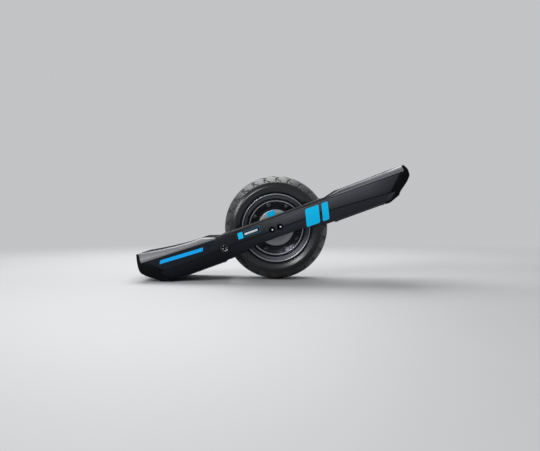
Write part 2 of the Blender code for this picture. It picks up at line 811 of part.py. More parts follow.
def make_axle_blocks(shop):
    lip = CHANNEL_LIP + GAP
    low = WAIST_BOTTOM + lip
    high = RAIL_TOP - lip
    for side, outward in (("left", 1), ("right", -1)):
        span = sorted((outward * BLOCK_INNER, outward * BLOCK_OUTER))
        body = block(
            f"axle_block_{side}",
            (-BLOCK_HALF_LENGTH, span[0], low),
            (BLOCK_HALF_LENGTH, span[1], high),
        )
        shop.keep(body, "aluminium")
        rounded(body, 0.002, 1)
        boss = rods(
            f"axle_block_boss_{side}",
            [((0, outward * BLOCK_BOSS_END, 0), (0, outward * (BLOCK_INNER + 0.004), 0))],
            BLOCK_BOSS_RADIUS,
            SHAFT_STEPS,
        )
        shop.combine(body, boss, "UNION")
        bore = rods(
            f"axle_bore_{side}",
            [((0, outward * (BLOCK_BOSS_END - 0.01), 0), (0, outward * (AXLE_END + GAP), 0))],
            AXLE_RADIUS + GAP,
            SHAFT_STEPS,
        )
        shop.combine(body, bore)
        for end in (-1, 1):
            x = end * BOLT_SPACING / 2
            thread = rods(
                f"thread_{side}_{end}",
                [((x, outward * (BOLT_END - GAP), 0), (x, outward * RAIL_OUTER, 0))],
                BOLT_RADIUS + GAP,
                10,
            )
            shop.combine(body, thread)


def make_axle_bolts(shop):
    seat = RAIL_OUTER - BOLT_RECESS_DEPTH + GAP
    head = seat + BOLT_HEAD_HEIGHT
    profile = [
        (0.0, BOLT_END),
        (BOLT_RADIUS, BOLT_END),
        (BOLT_RADIUS, seat),
        (BOLT_HEAD_RADIUS, seat),
        (BOLT_HEAD_RADIUS, head - 0.001),
        (BOLT_HEAD_RADIUS - 0.001, head),
        (BOLT_SOCKET_RADIUS, head),
        (BOLT_SOCKET_RADIUS, head - BOLT_SOCKET_DEPTH),
        (0.0, head - BOLT_SOCKET_DEPTH),
    ]
    for side, outward in (("left", 1), ("right", -1)):
        for end, along in (("front", 1), ("rear", -1)):
            place = (along * BOLT_SPACING / 2, 0, 0)
            bolt = turned(f"axle_bolt_{side}_{end}", profile, 8, place, outward)
            shop.keep(bolt, "bolt_black")


# The rails


def rail_bottom(x):
    """The lower edge, raised at the waist over the wheel's middle."""
    reach = (abs(x) - WAIST_HALF_LENGTH) / (WAIST_RAMP_END - WAIST_HALF_LENGTH)
    reach = min(max(reach, 0.0), 1.0)
    return WAIST_BOTTOM + (RAIL_BOTTOM - WAIST_BOTTOM) * reach


def rail_top(x):
    """The upper edge, which rises behind the wheel towards the tail."""
    reach = (-x - BOX_START) / (RAIL_END_TOP - BOX_START)
    return RAIL_TOP + REAR_FLARE * max(reach, 0.0)


def crease_height(x):
    reach = (abs(x) - WAIST_RAMP_END) / (RAIL_END_CREASE - WAIST_RAMP_END)
    end = CREASE_END_HEIGHT if x > 0 else REAR_CREASE_HEIGHT
    return CREASE_HEIGHT + (end - CREASE_HEIGHT) * max(reach, 0.0)


def rail_section(x, outward):
    bottom = rail_bottom(x)
    top = rail_top(x)
    outer_top = RAIL_OUTER - TOP_LEAN
    outer_bottom = RAIL_OUTER - UNDER_LEAN
    section = [
        (RAIL_INNER, top),
        (outer_top - EDGE_BEVEL, top),
        (outer_top, top - EDGE_BEVEL),
        (RAIL_OUTER, crease_height(x)),
        (outer_bottom, bottom + 2 * EDGE_BEVEL),
        (outer_bottom - EDGE_BEVEL, bottom),
        (RAIL_INNER, bottom),
        (RAIL_INNER, bottom + CHANNEL_LIP),
        (CHANNEL_FLOOR, bottom + CHANNEL_LIP),
        (CHANNEL_FLOOR, RAIL_TOP - CHANNEL_LIP),
        (RAIL_INNER, RAIL_TOP - CHANNEL_LIP),
    ]
    return [(x, outward * y, z) for y, z in section]


def rail_end_line(along, gap):
    """The joint between a rail and its bumper, from top to bottom.

    It slants in to the crease, steps out along a tongue and slants in again under it.
    """
    crease = crease_height(along * RAIL_END_CREASE)
    joint = [
        (RAIL_END_TOP, rail_top(along * RAIL_END_TOP)),
        (RAIL_END_CREASE, crease + 2 * GAP),
        (TONGUE_TIP, crease - TONGUE_DROP),
        (TONGUE_HEEL, RAIL_BOTTOM + TONGUE_HEEL_RISE),
        (RAIL_END_BOTTOM, RAIL_BOTTOM),
    ]
    wide = inset(joint + [(0.0, joint[-1][1]), (0.0, joint[0][1])], -gap)[: len(joint)]
    wide[0] = (joint[0][0] + 2 * gap, joint[0][1])
    wide[-1] = (joint[-1][0] + gap, joint[-1][1] - gap)
    return wide


def beyond(a, b, share):
    """A point on the line from a to b, past b by a share of their distance."""
    return (b[0] + share * (b[0] - a[0]), b[1] + share * (b[1] - a[1]))


def make_rails(shop):
    long_end = RAIL_END_TOP + 0.005
    stations = [-long_end, -BOX_START, -WAIST_RAMP_END, -WAIST_HALF_LENGTH]
    stations += [WAIST_HALF_LENGTH, WAIST_RAMP_END, long_end]
    for side, outward in (("left", 1), ("right", -1)):
        rail = loft(f"rail_{side}", [rail_section(x, outward) for x in stations])
        shop.keep(rail, "rail_charcoal")
        for end, along in (("front", 1), ("rear", -1)):
            joint = rail_end_line(along, 0.0)
            slope_top = beyond(joint[1], joint[0], 0.4)
            slope_bottom = (RAIL_END_BOTTOM, RAIL_BOTTOM - 0.005)
            past = BOARD_HALF_LENGTH + 0.02
            outline = [slope_top] + joint + [slope_bottom]
            outline += [(past, slope_bottom[1]), (past, slope_top[1])]
            outline = [(along * x, z) for x, z in outline]
            cutter = plate(
                f"rail_cut_{side}_{end}",
                [outline],
                "side",
                *sorted((outward * (RAIL_INNER - 0.002), outward * (RAIL_OUTER + 0.002))),
            )
            shop.combine(rail, cutter)
            x = along * BOLT_SPACING / 2
            deep = outward * (RAIL_OUTER - BOLT_RECESS_DEPTH)
            recess = rods(
                f"bolt_recess_{side}_{end}",
                [((x, deep, 0), (x, outward * (RAIL_OUTER + 0.002), 0))],
                BOLT_RECESS_RADIUS,
                SHAFT_STEPS,
            )
            hole = rods(
                f"bolt_hole_{side}_{end}",
                [((x, outward * (CHANNEL_FLOOR - 0.002), 0), (x, deep + outward * 0.001, 0))],
                BOLT_RADIUS + GAP,
                12,
            )
            shop.combine(rail, recess)
            shop.combine(rail, hole)
        radius = BEZEL_RADIUS if side == "left" else PORT_RADIUS
        opening = rods(
            f"fitting_hole_{side}",
            [
                (
                    (PORT_PLACE, outward * (CHANNEL_FLOOR - 0.002), PORT_HEIGHT),
                    (PORT_PLACE, outward * (RAIL_OUTER + 0.002), PORT_HEIGHT),
                )
            ],
            radius + GAP,
            SHAFT_STEPS,
        )
        shop.combine(rail, opening)


def make_trim_strips(shop):
    """Low strips on top of the rails beside the wheel, tapered at their ends."""
    low = RAIL_TOP + GAP
    outline = [
        (STRIP_START, low),
        (STRIP_END, low),
        (STRIP_END, low + 0.002),
        (STRIP_END - STRIP_TAPER, low + STRIP_HEIGHT),
        (STRIP_START + STRIP_TAPER, low + STRIP_HEIGHT),
        (STRIP_START, low + 0.002),
    ]
    inner = RAIL_INNER + 0.0005
    for side, outward in (("left", 1), ("right", -1)):
        span = sorted((outward * inner, outward * (inner + STRIP_WIDTH)))
        strip = plate(f"trim_strip_{side}", [outline], "side", *span)
        shop.keep(rounded(strip, 0.0012, 1), "trim_black")


# The bumpers


def floor_line(x):
    """Height, in the board's frame, of the floor under the tail at a distance from the axle."""
    return (x * SIN_PITCH - TYRE_RADIUS) / COS_PITCH


def bumper_nose(lip_top):
    """The outer edge of a bumper, seen from the side, from its lip down to the skid."""
    lip_x = PAD_END + GAP + LIP_THICKNESS
    skid_top = floor_line(SKID_END)
    widest = LENS_TOP + 0.004
    points = [(lip_x, lip_top), ((lip_x + BOARD_HALF_LENGTH) / 2 + 0.001, (lip_top + widest) / 2)]
    points += [
        (BOARD_HALF_LENGTH, widest),
        (BOARD_HALF_LENGTH - 0.0010, LENS_BOTTOM - 0.001),
        (BOARD_HALF_LENGTH - 0.0070, LENS_BOTTOM - 0.009),
        (BOARD_HALF_LENGTH - 0.0140, LENS_BOTTOM - 0.016),
        (BOARD_HALF_LENGTH - 0.0245, LENS_BOTTOM - 0.024),
        (SKID_END + 0.0085, skid_top + 0.0095),
    ]
    points += [(SKID_END, skid_top), (SKID_START, UNDERSIDE)]
    return points


def bumper_outline(along, lip_top):
    joint = rail_end_line(along, GAP)
    seat = (PAD_END + GAP, joint[0][1])
    lip = (PAD_END + GAP, lip_top)
    heel = (RAIL_END_BOTTOM + GAP, UNDERSIDE)
    return [seat, lip] + bumper_nose(lip_top) + [heel] + joint[::-1]


def inset(points, distance):
    """Move each side of a closed outline inwards by a distance."""
    turn = 1 if signed_area(points) > 0 else -1
    moved = []
    for before, here, after in zip(points[-1:] + points[:-1], points, points[1:] + points[:1]):
        normals = []
        for a, b in ((before, here), (here, after)):
            length = math.dist(a, b)
            normals.append((-turn * (b[1] - a[1]) / length, turn * (b[0] - a[0]) / length))
        (nx, nz), (mx, mz) = normals
        share = distance / (1 + nx * mx + nz * mz)
        moved.append((here[0] + share * (nx + mx), here[1] + share * (nz + mz)))
    return moved


def make_bumper(shop, end, along, lip_top):
    outline = [(along * x, z) for x, z in bumper_outline(along, lip_top)]
    bumper = plate(f"{end}_bumper", [outline], "side", -RAIL_OUTER, RAIL_OUTER)

    inner = outline[-6:] + outline[:2]  # from the heel up the joint to the lip
    inner = [((a[0] + b[0]) / 2, (a[1] + b[1]) / 2) for a, b in zip(inner, inner[1:])]

    def on_outer_edge(middle):
        at_side = abs(abs(middle.z) - RAIL_OUTER) < 0.0001
        return at_side and all(math.dist(middle[:2], spot) > GAP for spot in inner)

    shop.keep(rounded_where(bumper, BUMPER_ROUNDING, 2, on_outer_edge), "bumper_black")
    nose = bumper_nose(RAIL_TOP)[2:]
    hollow = [(PAD_END, RAIL_TOP)] + nose + [(RAIL_END_BOTTOM, UNDERSIDE)]
    hollow = inset(hollow + [(RAIL_END_BOTTOM, RAIL_TOP)], BUMPER_WALL)
    inner_x = RAIL_END_BOTTOM - 0.01
    hollow[-2] = (inner_x, hollow[-2][1])
    hollow[-1] = (inner_x, hollow[-1][1])
    half = RAIL_INNER - 0.004
    pocket = plate(
        f"{end}_bumper_hollow", [[(along * x, z) for x, z in hollow]], "side", -half, half
    )
    shop.combine(bumper, pocket)
    slot = plate(
        f"{end}_light_slot",
        [
            rectangle(
                along * (BOARD_HALF_LENGTH - 0.03),
                LENS_BOTTOM - GAP,
                along * (BOARD_HALF_LENGTH + 0.01),
                LENS_TOP + GAP,
            )
        ],
        "side",
        -LENS_HALF_WIDTH - GAP,
        LENS_HALF_WIDTH + GAP,
    )
    shop.combine(bumper, slot)
    make_light(shop, end, along)
    make_bumper_screws(shop, end, along, bumper)


def make_light(shop, end, along):
    """A clear bar in the bumper's slot, and the row of lamps behind it."""
    face = BOARD_HALF_LENGTH - 0.0012
    back = face - LENS_DEPTH - BUMPER_WALL
    outline = [
        (back, LENS_BOTTOM),
        (face - 0.0005, LENS_BOTTOM),
        (face, LENS_BOTTOM + 0.002),
        (face, LENS_TOP - 0.001),
        (face - 0.001, LENS_TOP),
        (back, LENS_TOP),
    ]
    outline = [(along * x, z) for x, z in outline]
    lens = plate(f"{end}_light_lens", [outline], "side", -LENS_HALF_WIDTH, LENS_HALF_WIDTH)
    shop.keep(lens, "lens")
    near = back - GAP
    board = block(
        f"{end}_light_board",
        (min(along * near, along * (near - BOARD_THICKNESS)), -LENS_HALF_WIDTH, LENS_BOTTOM),
        (max(along * near, along * (near - BOARD_THICKNESS)), LENS_HALF_WIDTH, LENS_TOP),
    )
    shop.keep(board, "board_green")


def make_bumper_screws(shop, end, along, bumper):
    """Countersunk screws up through the skid."""
    x = (SKID_START + RAIL_END_BOTTOM) / 2
    for side, outward in (("left", 1), ("right", -1)):
        y = outward * SCREW_PLACE
        hole = rods(
            f"{end}_screw_hole_{side}",
            [((along * x, y, UNDERSIDE - 0.002), (along * x, y, UNDERSIDE + 0.01))],
            SCREW_RADIUS + GAP,
            10,
        )
        sink = rods(
            f"{end}_screw_sink_{side}",
            [
                (
                    (along * x, y, UNDERSIDE - 0.002),
                    (along * x, y, UNDERSIDE + SCREW_HEAD_HEIGHT + 3 * GAP),
                )
            ],
            SCREW_HEAD_RADIUS + GAP,
            12,
        )
        shop.combine(bumper, hole)
        shop.combine(bumper, sink)
        low = UNDERSIDE + GAP
        seat = low + SCREW_HEAD_HEIGHT
        profile = [
            (0.0, low + 0.0012),
            (SCREW_SOCKET_RADIUS, low + 0.0012),
            (SCREW_SOCKET_RADIUS, low),
            (SCREW_HEAD_RADIUS - 0.0006, low),
            (SCREW_HEAD_RADIUS, low + 0.0006),
            (SCREW_HEAD_RADIUS, seat),
            (SCREW_RADIUS, seat),
            (SCREW_RADIUS, low + SCREW_LENGTH),
            (0.0, low + SCREW_LENGTH),
        ]
        screw = turned(f"{end}_bumper_screw_{side}", profile, 8, (along * x, y, 0))
        screw.rotation_euler = (0, 0, 0)
        shop.keep(screw, "bolt_black")


# The footpads


def pad_edge_height(x, rise, kick):
    """Height of a footpad's side edge above its seat, at a distance from the axle."""
    ramp = min((x - PAD_START) / PAD_FIRST_STEP, 1.0)
    reach = (x - PAD_START) / (PAD_END - PAD_START)
    lift = max((reach - 0.3) / 0.7, 0.0) ** 1.5
    return PAD_BASE + (rise - PAD_BASE) * ramp + kick * lift


def pad_top(x, y, rise, kick):
    """The concave top surface: level in the middle, raised and rolled off along both sides."""
    crest = PAD_HALF_WIDTH - PAD_ROLL_WIDTH
    edge = min(max((abs(y) / crest - 0.5) / 0.5, 0.0), 1.0)
    dish = CONCAVE * (1 - edge * edge * (3 - 2 * edge))
    ramp = min((x - PAD_START) / PAD_FIRST_STEP, 1.0)
    ends = min((PAD_END - x) / (PAD_END - PAD_START) * 2, 1.0)
    height = pad_edge_height(x, rise, kick)
    past = max((abs(y) - crest) / PAD_ROLL_WIDTH, 0.0)
    roll = PAD_ROLL * (height - PAD_BASE) * past * past
    return PAD_SEAT + height - dish * ramp * ends - roll


def pad_stations():
    """Where a footpad is measured: distances along it, and shares of its half width."""
    count = 5
    step_end = PAD_START + PAD_FIRST_STEP
    along = [PAD_START, PAD_START + PAD_FIRST_STEP / 2, step_end]
    along += [step_end + (PAD_END - step_end) * i / count for i in range(1, count + 1)]
    crest = PAD_HALF_WIDTH - PAD_ROLL_WIDTH
    across = [0.62 * crest, crest, crest + 0.6 * PAD_ROLL_WIDTH, PAD_HALF_WIDTH]
    return along, [-y for y in reversed(across)] + across


def on_facets(stations, value, height):
    """Height at a value, in a straight line between the stations on either side."""
    for a, b in zip(stations, stations[1:]):
        if value <= b:
            break
    return height(a) + (height(b) - height(a)) * (value - a) / (b - a)


def sheet(name, top, under):
    """A closed layer between two grids of points, whose facets are split the same way."""
    bm = bmesh.new()
    grids = [[[bm.verts.new(point) for point in row] for row in grid] for grid in (top, under)]
    rows = len(top)
    columns = len(top[0])
    for grid in grids:
        for i in range(rows - 1):
            for j in range(columns - 1):
                near = grid[i][j]
                far = grid[i + 1][j + 1]
                bm.faces.new((near, grid[i + 1][j], far))
                bm.faces.new((near, far, grid[i][j + 1]))
    border = [(0, j) for j in range(columns)]
    border += [(i, columns - 1) for i in range(1, rows)]
    border += [(rows - 1, j) for j in range(columns - 2, -1, -1)]
    border += [(i, 0) for i in range(rows - 2, 0, -1)]
    for (i, j), (k, m) in zip(border, border[1:] + border[:1]):
        bm.faces.new((grids[0][i][j], grids[0][k][m], grids[1][k][m], grids[1][i][j]))
    return object_from(bm, name)


def pad_sheet(name, along, rise, kick, upper, lower, margin=0.0, within_rolls=False):
    """A layer of a footpad between two depths under its top, or down to its seat."""
    stations, across = pad_stations()
    inner = [stations[0] + margin] + stations[1:-1] + [stations[-1] - margin]
    widths = across
    if within_rolls:
        inner = inner[1:]
        widths = [across[2] + margin] + across[3:-3] + [across[-3] - margin]
    top = []
    under = []
    for x in inner:
        heights = [
            on_facets(
                stations,
                x,
                lambda a: on_facets(across, y, lambda b: pad_top(a, b, rise, kick)),
            )
            for y in widths
        ]
        top.append([(along * x, y, z - upper) for y, z in zip(widths, heights)])
        seat = rail_top(along * x) + GAP
        bottoms = [seat if lower is None else z - lower for z in heights]
        under.append([(along * x, y, z) for y, z in zip(widths, bottoms)])
    return sheet(name, top, under)


def make_footpads(shop):
    for end, along, rise, top in (
        ("front", 1, FRONT_PAD_RISE, FRONT_LIP_TOP),
        ("rear", -1, REAR_PAD_RISE, REAR_LIP_TOP),
    ):
        kick = top - PAD_SEAT - rise
        depth = GRIP_THICKNESS + GAP
        if end == "front":
            low = depth + SENSOR_THICKNESS
            film = pad_sheet("footpad_sensor", along, rise, kick, depth, low, 0.001, True)
            shop.keep(film, "board_green")
            depth = low + GAP
        core = pad_sheet(f"{end}_footpad", along, rise, kick, depth, None)
        shop.keep(core, "pad_core")
        grip = pad_sheet(f"{end}_grip", along, rise, kick, 0.0, GRIP_THICKNESS, 0.001)
        shop.keep(grip, "grip_black")


# The boxes between the rails


def make_box(shop, name, along, finish):
    """A tray between the rails, open under the footpad, with a hole for its cables."""
    half = BOX_HALF_WIDTH
    top = RAIL_TOP
    outline = [
        (-half, top),
        (-half, BOX_BOTTOM + BOX_CHAMFER),
        (-half + BOX_CHAMFER, BOX_BOTTOM),
        (half - BOX_CHAMFER, BOX_BOTTOM),
        (half, BOX_BOTTOM + BOX_CHAMFER),
        (half, top),
    ]
    ends = sorted((along * BOX_START, along * BOX_END))
    box = plate(name, [outline], "front", *ends)
    shop.keep(box, finish)
    inner = inset(outline, BOX_WALL)
    inner[0] = (inner[0][0], top + 0.01)
    inner[-1] = (inner[-1][0], top + 0.01)
    hollow = plate(
        name + "_hollow", [inner], "front", ends[0] + BOX_WALL, ends[1] - BOX_WALL
    )
    shop.combine(box, hollow)


def cell_outline(left, low, across, high):
    """The outline of a wrapped brick of cells, bulging at each cell."""
    pitch = 2 * CELL_RADIUS
    left += CELL_RADIUS
    low += CELL_RADIUS
    right = left + pitch * (across - 1)
    top = low + pitch * (high - 1)
    quarter = math.pi / 2
    lean = math.radians(50)
    runs = [
        (across, lambda i: (left + i * pitch, low), -quarter),
        (high, lambda i: (right, low + i * pitch), 0.0),
        (across, lambda i: (right - i * pitch, top), quarter),
        (high, lambda i: (left, top - i * pitch), math.pi),
    ]
    points = []
    for count, centre, facing in runs:
        for i in range(count):
            points += arc(centre(i), CELL_RADIUS, facing - lean, facing + lean, 3)
    return points


def make_battery(shop):
    """As many cells as the box holds, and their board on posts against its wall."""
    make_box(shop, "battery_box", -1, "box_black")
    floor = BOX_BOTTOM + BOX_WALL + GAP
    wall = BOX_HALF_WIDTH - BOX_WALL
    board_y = wall - BOARD_STANDOFF
    chips_y = board_y - BOARD_THICKNESS - CHIP_HEIGHT
    left = BOX_CHAMFER - wall
    across = math.floor((chips_y - left) / (2 * CELL_RADIUS))
    high = math.floor((RAIL_TOP - floor) / (2 * CELL_RADIUS))
    start = -(BOX_START + BOX_WALL + CELL_END_MARGIN)
    end = -(BOX_END - BOX_WALL - CELL_END_MARGIN)
    pack = plate(
        "battery_pack", [cell_outline(left, floor, across, high)], "front", end, start
    )
    shop.keep(pack, "cell_wrap")
    low = floor + BOX_CHAMFER
    top = RAIL_TOP - BOARD_MARGIN
    board = block(
        "battery_board",
        (end + BOARD_MARGIN, board_y - BOARD_THICKNESS, low),
        (start - BOARD_MARGIN, board_y, top),
    )
    shop.keep(board, "board_green")
    chips = block(
        "battery_board_parts",
        (end + 2 * BOARD_MARGIN, chips_y, low + BOARD_MARGIN),
        (start - 2 * BOARD_MARGIN, board_y - BOARD_THICKNESS / 2, top - BOARD_MARGIN),
    )
    shop.combine(board, chips, "UNION")
    inset_x = BOARD_MARGIN + 2 * POST_RADIUS
    posts = rods(
        "battery_board_posts",
        [
            ((x, board_y - BOARD_THICKNESS / 2, z), (x, wall - GAP, z))
            for x in (end + inset_x, start - inset_x)
            for z in (low + 2 * POST_RADIUS, top - 2 * POST_RADIUS)
        ],
        POST_RADIUS,
        8,
    )
    shop.combine(board, posts, "UNION")


def make_controller(shop):
    """The motor's controller, on a finned sink that stands on the floor of its box."""
    make_box(shop, "controller_box", 1, "box_black")
    floor = BOX_BOTTOM + BOX_WALL + GAP
    start = BOX_START + BOX_WALL + SINK_MARGIN
    end = BOX_END - BOX_WALL - SINK_MARGIN
    half = BOX_HALF_WIDTH - BOX_WALL - SINK_SIDE_MARGIN
    top = floor + FIN_HEIGHT
    fins = [(-half, floor), (half, floor), (half, top)]
    pitch = 2 * half / (FIN_COUNT - 0.5)
    for i in range(FIN_COUNT - 1, -1, -1):
        left = -half + i * pitch
        fins.append((left, top))
        if i:
            fins.append((left, floor + FIN_ROOT))
            fins.append((left - pitch / 2, floor + FIN_ROOT))
            fins.append((left - pitch / 2, top))
    sink = plate("heat_sink", [fins], "front", start, end)
    shop.keep(sink, "aluminium")
    low = top + GAP
    face = low + BOARD_THICKNESS
    sunk = low + BOARD_THICKNESS / 2
    edge = half - BOARD_STANDOFF
    board = block(
        "controller_board",
        (start + BOARD_STANDOFF, -edge, low),
        (end - BOARD_STANDOFF, edge, face),
    )
    shop.keep(board, "board_green")
    x = start + BOARD_MARGIN + 2 * CAPACITOR_RADIUS
    cans = rods(
        "capacitors",
        [
            ((x, i * CAPACITOR_SPACING, sunk), (x, i * CAPACITOR_SPACING, face + CAPACITOR_HEIGHT))
            for i in (-1.5, -0.5, 0.5, 1.5)
        ],
        CAPACITOR_RADIUS,
        10,
    )
    shop.combine(board, cans, "UNION")
    x = end - 2 * BOARD_MARGIN
    switches = block(
        "power_switches",
        (x - SWITCH_LENGTH, -edge + 2 * BOARD_MARGIN, sunk),
        (x, edge - 2 * BOARD_MARGIN, face + SWITCH_HEIGHT),
    )
    shop.combine(board, switches, "UNION")


def make_charge_socket(shop):
    """A recessed three-pin socket in the right rail."""
    back = RAIL_INNER + GAP
    mouth = RAIL_OUTER - 0.0008
    profile = [
        (0.0, back),
        (PORT_RADIUS, back),
        (PORT_RADIUS, mouth),
        (PORT_RADIUS - PORT_WALL, mouth),
        (PORT_RADIUS - PORT_WALL, PORT_FLOOR),
        (0.0, PORT_FLOOR),
    ]
    place = (PORT_PLACE, 0, PORT_HEIGHT)
    socket = turned("charge_socket", profile, SHAFT_STEPS, place, -1)
    shop.keep(socket, "trim_black")
    pins = []
    for i in range(3):
        angle = math.pi / 2 + math.tau * i / 3
        x = PORT_PLACE + PIN_CIRCLE * math.cos(angle)
        z = PORT_HEIGHT + PIN_CIRCLE * math.sin(angle)
        pins.append(((x, -PORT_FLOOR + 0.001, z), (x, -PORT_FLOOR - PIN_LENGTH, z)))
    shop.combine(socket, rods("charge_pins", pins, PIN_RADIUS, 6), "UNION")


def make_power_button(shop):
    """A round push button in the left rail, inside a fixed bezel."""
    front = RAIL_OUTER - 0.0012
    back = RAIL_INNER + GAP
    shelf = front - BUTTON_DEPTH
    bezel = [
        (0.0, back),
        (BEZEL_RADIUS, back),
        (BEZEL_RADIUS, front),
        (BUTTON_RADIUS + GAP, front),
        (BUTTON_RADIUS + GAP, shelf),
        (0.0, shelf),
    ]
    place = (PORT_PLACE, 0, PORT_HEIGHT)
    shop.keep(turned("button_bezel", bezel, SHAFT_STEPS, place, 1), "trim_black")
    face = front - 0.0004
    low = shelf + BUTTON_TRAVEL + GAP
    button = [
        (0.0, low),
        (BUTTON_RADIUS, low),
        (BUTTON_RADIUS, face - 0.0006),
        (BUTTON_RADIUS - 0.0010, face),
        (BUTTON_RADIUS - 0.0025, face),
        (BUTTON_RADIUS - 0.0035, face - 0.0008),
        (0.0, face - 0.0008),
    ]
    shop.keep(turned("power_button", button, SHAFT_STEPS, place, 1), "steel")


def make_cables(shop):
    """Power along the right rail, and the motor's cable along the left one."""
    wall = BOX_START - GAP
    y = -CABLE_PLACE
    under = WAIST_BOTTOM + POWER_CABLE_RADIUS
    rise = -0.008
    power = [
        (-wall, y, rise),
        (-wall + 0.015, y, rise),
        (-0.085, y, under + 0.003),
        (-0.040, y, under),
        (0.040, y, under),
        (0.085, y, under + 0.003),
        (wall - 0.015, y, rise),
        (wall, y, rise),
    ]
    shop.keep(cable("battery_cable", power, POWER_CABLE_RADIUS), "cable_black")
    y = CABLE_PLACE
    motor = [
        (BLOCK_HALF_LENGTH + GAP, y, 0.0),
        (BLOCK_HALF_LENGTH + 0.015, y, 0.0),
        (0.060, y, -0.001),
        (0.095, y, -0.003),
        (wall - 0.015, y, -0.003),
        (wall, y, -0.003),
    ]
    shop.keep(cable("motor_cable", motor, MOTOR_CABLE_RADIUS), "cable_black")


def park(shop):
    """Lean the board back on its tail skid, and centre it over the origin."""
    front = max(x * COS_PITCH - z * SIN_PITCH for x, z in bumper_outline(1, FRONT_LIP_TOP))
    rear = max(x * COS_PITCH + z * SIN_PITCH for x, z in bumper_outline(-1, REAR_LIP_TOP))
    shop.board.location = ((rear - front) / 2, 0, TYRE_RADIUS)
    shop.board.rotation_euler = (0, -REST_PITCH, 0)
    shop.wheel.rotation_euler = (0, REST_PITCH, 0)


def main():
    clear_scene()
    shop = Shop()
    make_tyre(shop)
    make_rim(shop)
    make_rotor(shop)
    make_motor_covers(shop)
    make_bearings(shop)
    make_stator(shop)
    make_axle(shop)
    make_axle_blocks(shop)
    make_axle_bolts(shop)
    make_rails(shop)
    make_trim_strips(shop)
    make_bumper(shop, "front", 1, FRONT_LIP_TOP)
    make_bumper(shop, "rear", -1, REAR_LIP_TOP)
    make_footpads(shop)
    make_battery(shop)
    make_controller(shop)
    make_charge_socket(shop)
    make_power_button(shop)
    make_cables(shop)
    park(shop)


main()
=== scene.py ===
import json
import math

import bpy
from mathutils import Matrix, Vector

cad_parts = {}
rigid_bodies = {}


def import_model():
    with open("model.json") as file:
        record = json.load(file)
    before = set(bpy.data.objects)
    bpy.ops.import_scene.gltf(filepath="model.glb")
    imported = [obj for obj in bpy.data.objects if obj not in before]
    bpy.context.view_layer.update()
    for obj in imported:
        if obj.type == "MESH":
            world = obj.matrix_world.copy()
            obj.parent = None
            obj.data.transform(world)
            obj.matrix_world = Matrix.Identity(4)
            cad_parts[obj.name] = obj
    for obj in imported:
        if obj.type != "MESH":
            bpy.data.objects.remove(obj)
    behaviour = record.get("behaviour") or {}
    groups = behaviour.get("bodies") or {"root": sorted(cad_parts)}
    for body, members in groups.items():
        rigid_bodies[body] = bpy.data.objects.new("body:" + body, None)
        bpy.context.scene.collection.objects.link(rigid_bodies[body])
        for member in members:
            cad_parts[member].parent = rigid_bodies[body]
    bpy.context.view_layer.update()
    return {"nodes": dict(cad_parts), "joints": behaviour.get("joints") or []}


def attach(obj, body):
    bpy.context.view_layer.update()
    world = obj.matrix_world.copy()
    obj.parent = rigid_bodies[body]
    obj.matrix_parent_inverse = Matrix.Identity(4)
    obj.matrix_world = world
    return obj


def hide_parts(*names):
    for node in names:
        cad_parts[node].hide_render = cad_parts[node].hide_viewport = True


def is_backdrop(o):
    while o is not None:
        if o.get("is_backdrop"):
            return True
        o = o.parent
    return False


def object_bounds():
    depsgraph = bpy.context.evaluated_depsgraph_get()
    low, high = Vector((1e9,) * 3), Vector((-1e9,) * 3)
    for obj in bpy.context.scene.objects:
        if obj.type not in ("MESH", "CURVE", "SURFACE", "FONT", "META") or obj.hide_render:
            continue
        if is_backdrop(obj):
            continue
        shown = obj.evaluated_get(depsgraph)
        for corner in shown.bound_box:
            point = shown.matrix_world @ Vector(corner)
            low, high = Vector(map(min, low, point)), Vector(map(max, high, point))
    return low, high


for startObject in list(bpy.data.objects):
    bpy.data.objects.remove(startObject)
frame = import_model()
nodes = frame["nodes"]

# The board lies back on its tail. Its own axes: X to the nose, Y to the far side,
# Z up, zero at the axle.
board = {
    "tyreRadius": 0.1435,
    "skidStart": 0.3091,  # where the tail's flat skid begins
    "underside": -0.0402,
    "halfLength": 0.3835,
    "railInner": 0.104,
    "railOuter": 0.118,
    "railTop": 0.027,
    "railBottom": -0.036,
    "boxStart": 0.155,
    "gap": 0.0003,
}
lean = math.asin(board["tyreRadius"] / math.hypot(board["skidStart"], board["underside"]))
lean -= math.atan2(-board["underside"], board["skidStart"])
axleSpot = Vector(frame["joints"][0]["pos_m"])
boardPlace = Matrix.Translation(axleSpot) @ Matrix.Rotation(-lean, 4, "Y")
wheelPlace = Matrix.Translation(axleSpot)
sides = (("left", 1), ("right", -1))
ends = (("front", 1), ("rear", -1))
rail = {
    "waistRise": 0.0115,
    "waistHalf": 0.060,
    "rampEnd": 0.130,
    "crease": -0.003,
    "noseCrease": -0.015,
    "tailCrease": -0.0045,
    "flare": 0.0078,  # how far the top rises towards the tail
    "topLean": 0.002,
    "underLean": 0.004,
    "bevel": 0.0016,
    "channelDepth": 0.006,
    "channelLip": 0.008,
    "groove": 0.0007,
    "endTop": 0.3627,
    "endCrease": 0.3185,
    "tongueTip": 0.331,
    "tongueHeel": 0.3154,
    "endBottom": 0.298,
    "boltPlace": 0.0115,  # either side of the axle
    "recess": 0.008,
    "portPlace": -0.149,
    "portHeight": -0.002,
}


# Modelling helpers

merge = 0.00001  # points nearer than this become one


def choose(*objects):
    bpy.ops.object.select_all(action="DESELECT")
    for obj in objects:
        obj.select_set(True)
    bpy.context.view_layer.objects.active = objects[0]


def editing(obj, mode="VERT"):
    choose(obj)
    bpy.ops.object.mode_set(mode="EDIT")
    bpy.ops.mesh.select_mode(type=mode)
    bpy.ops.mesh.select_all(action="SELECT")


def doneEditing():
    bpy.ops.object.mode_set(mode="OBJECT")


def added(name, data):
    obj = bpy.data.objects.new(name, data)
    bpy.context.scene.collection.objects.link(obj)
    return obj


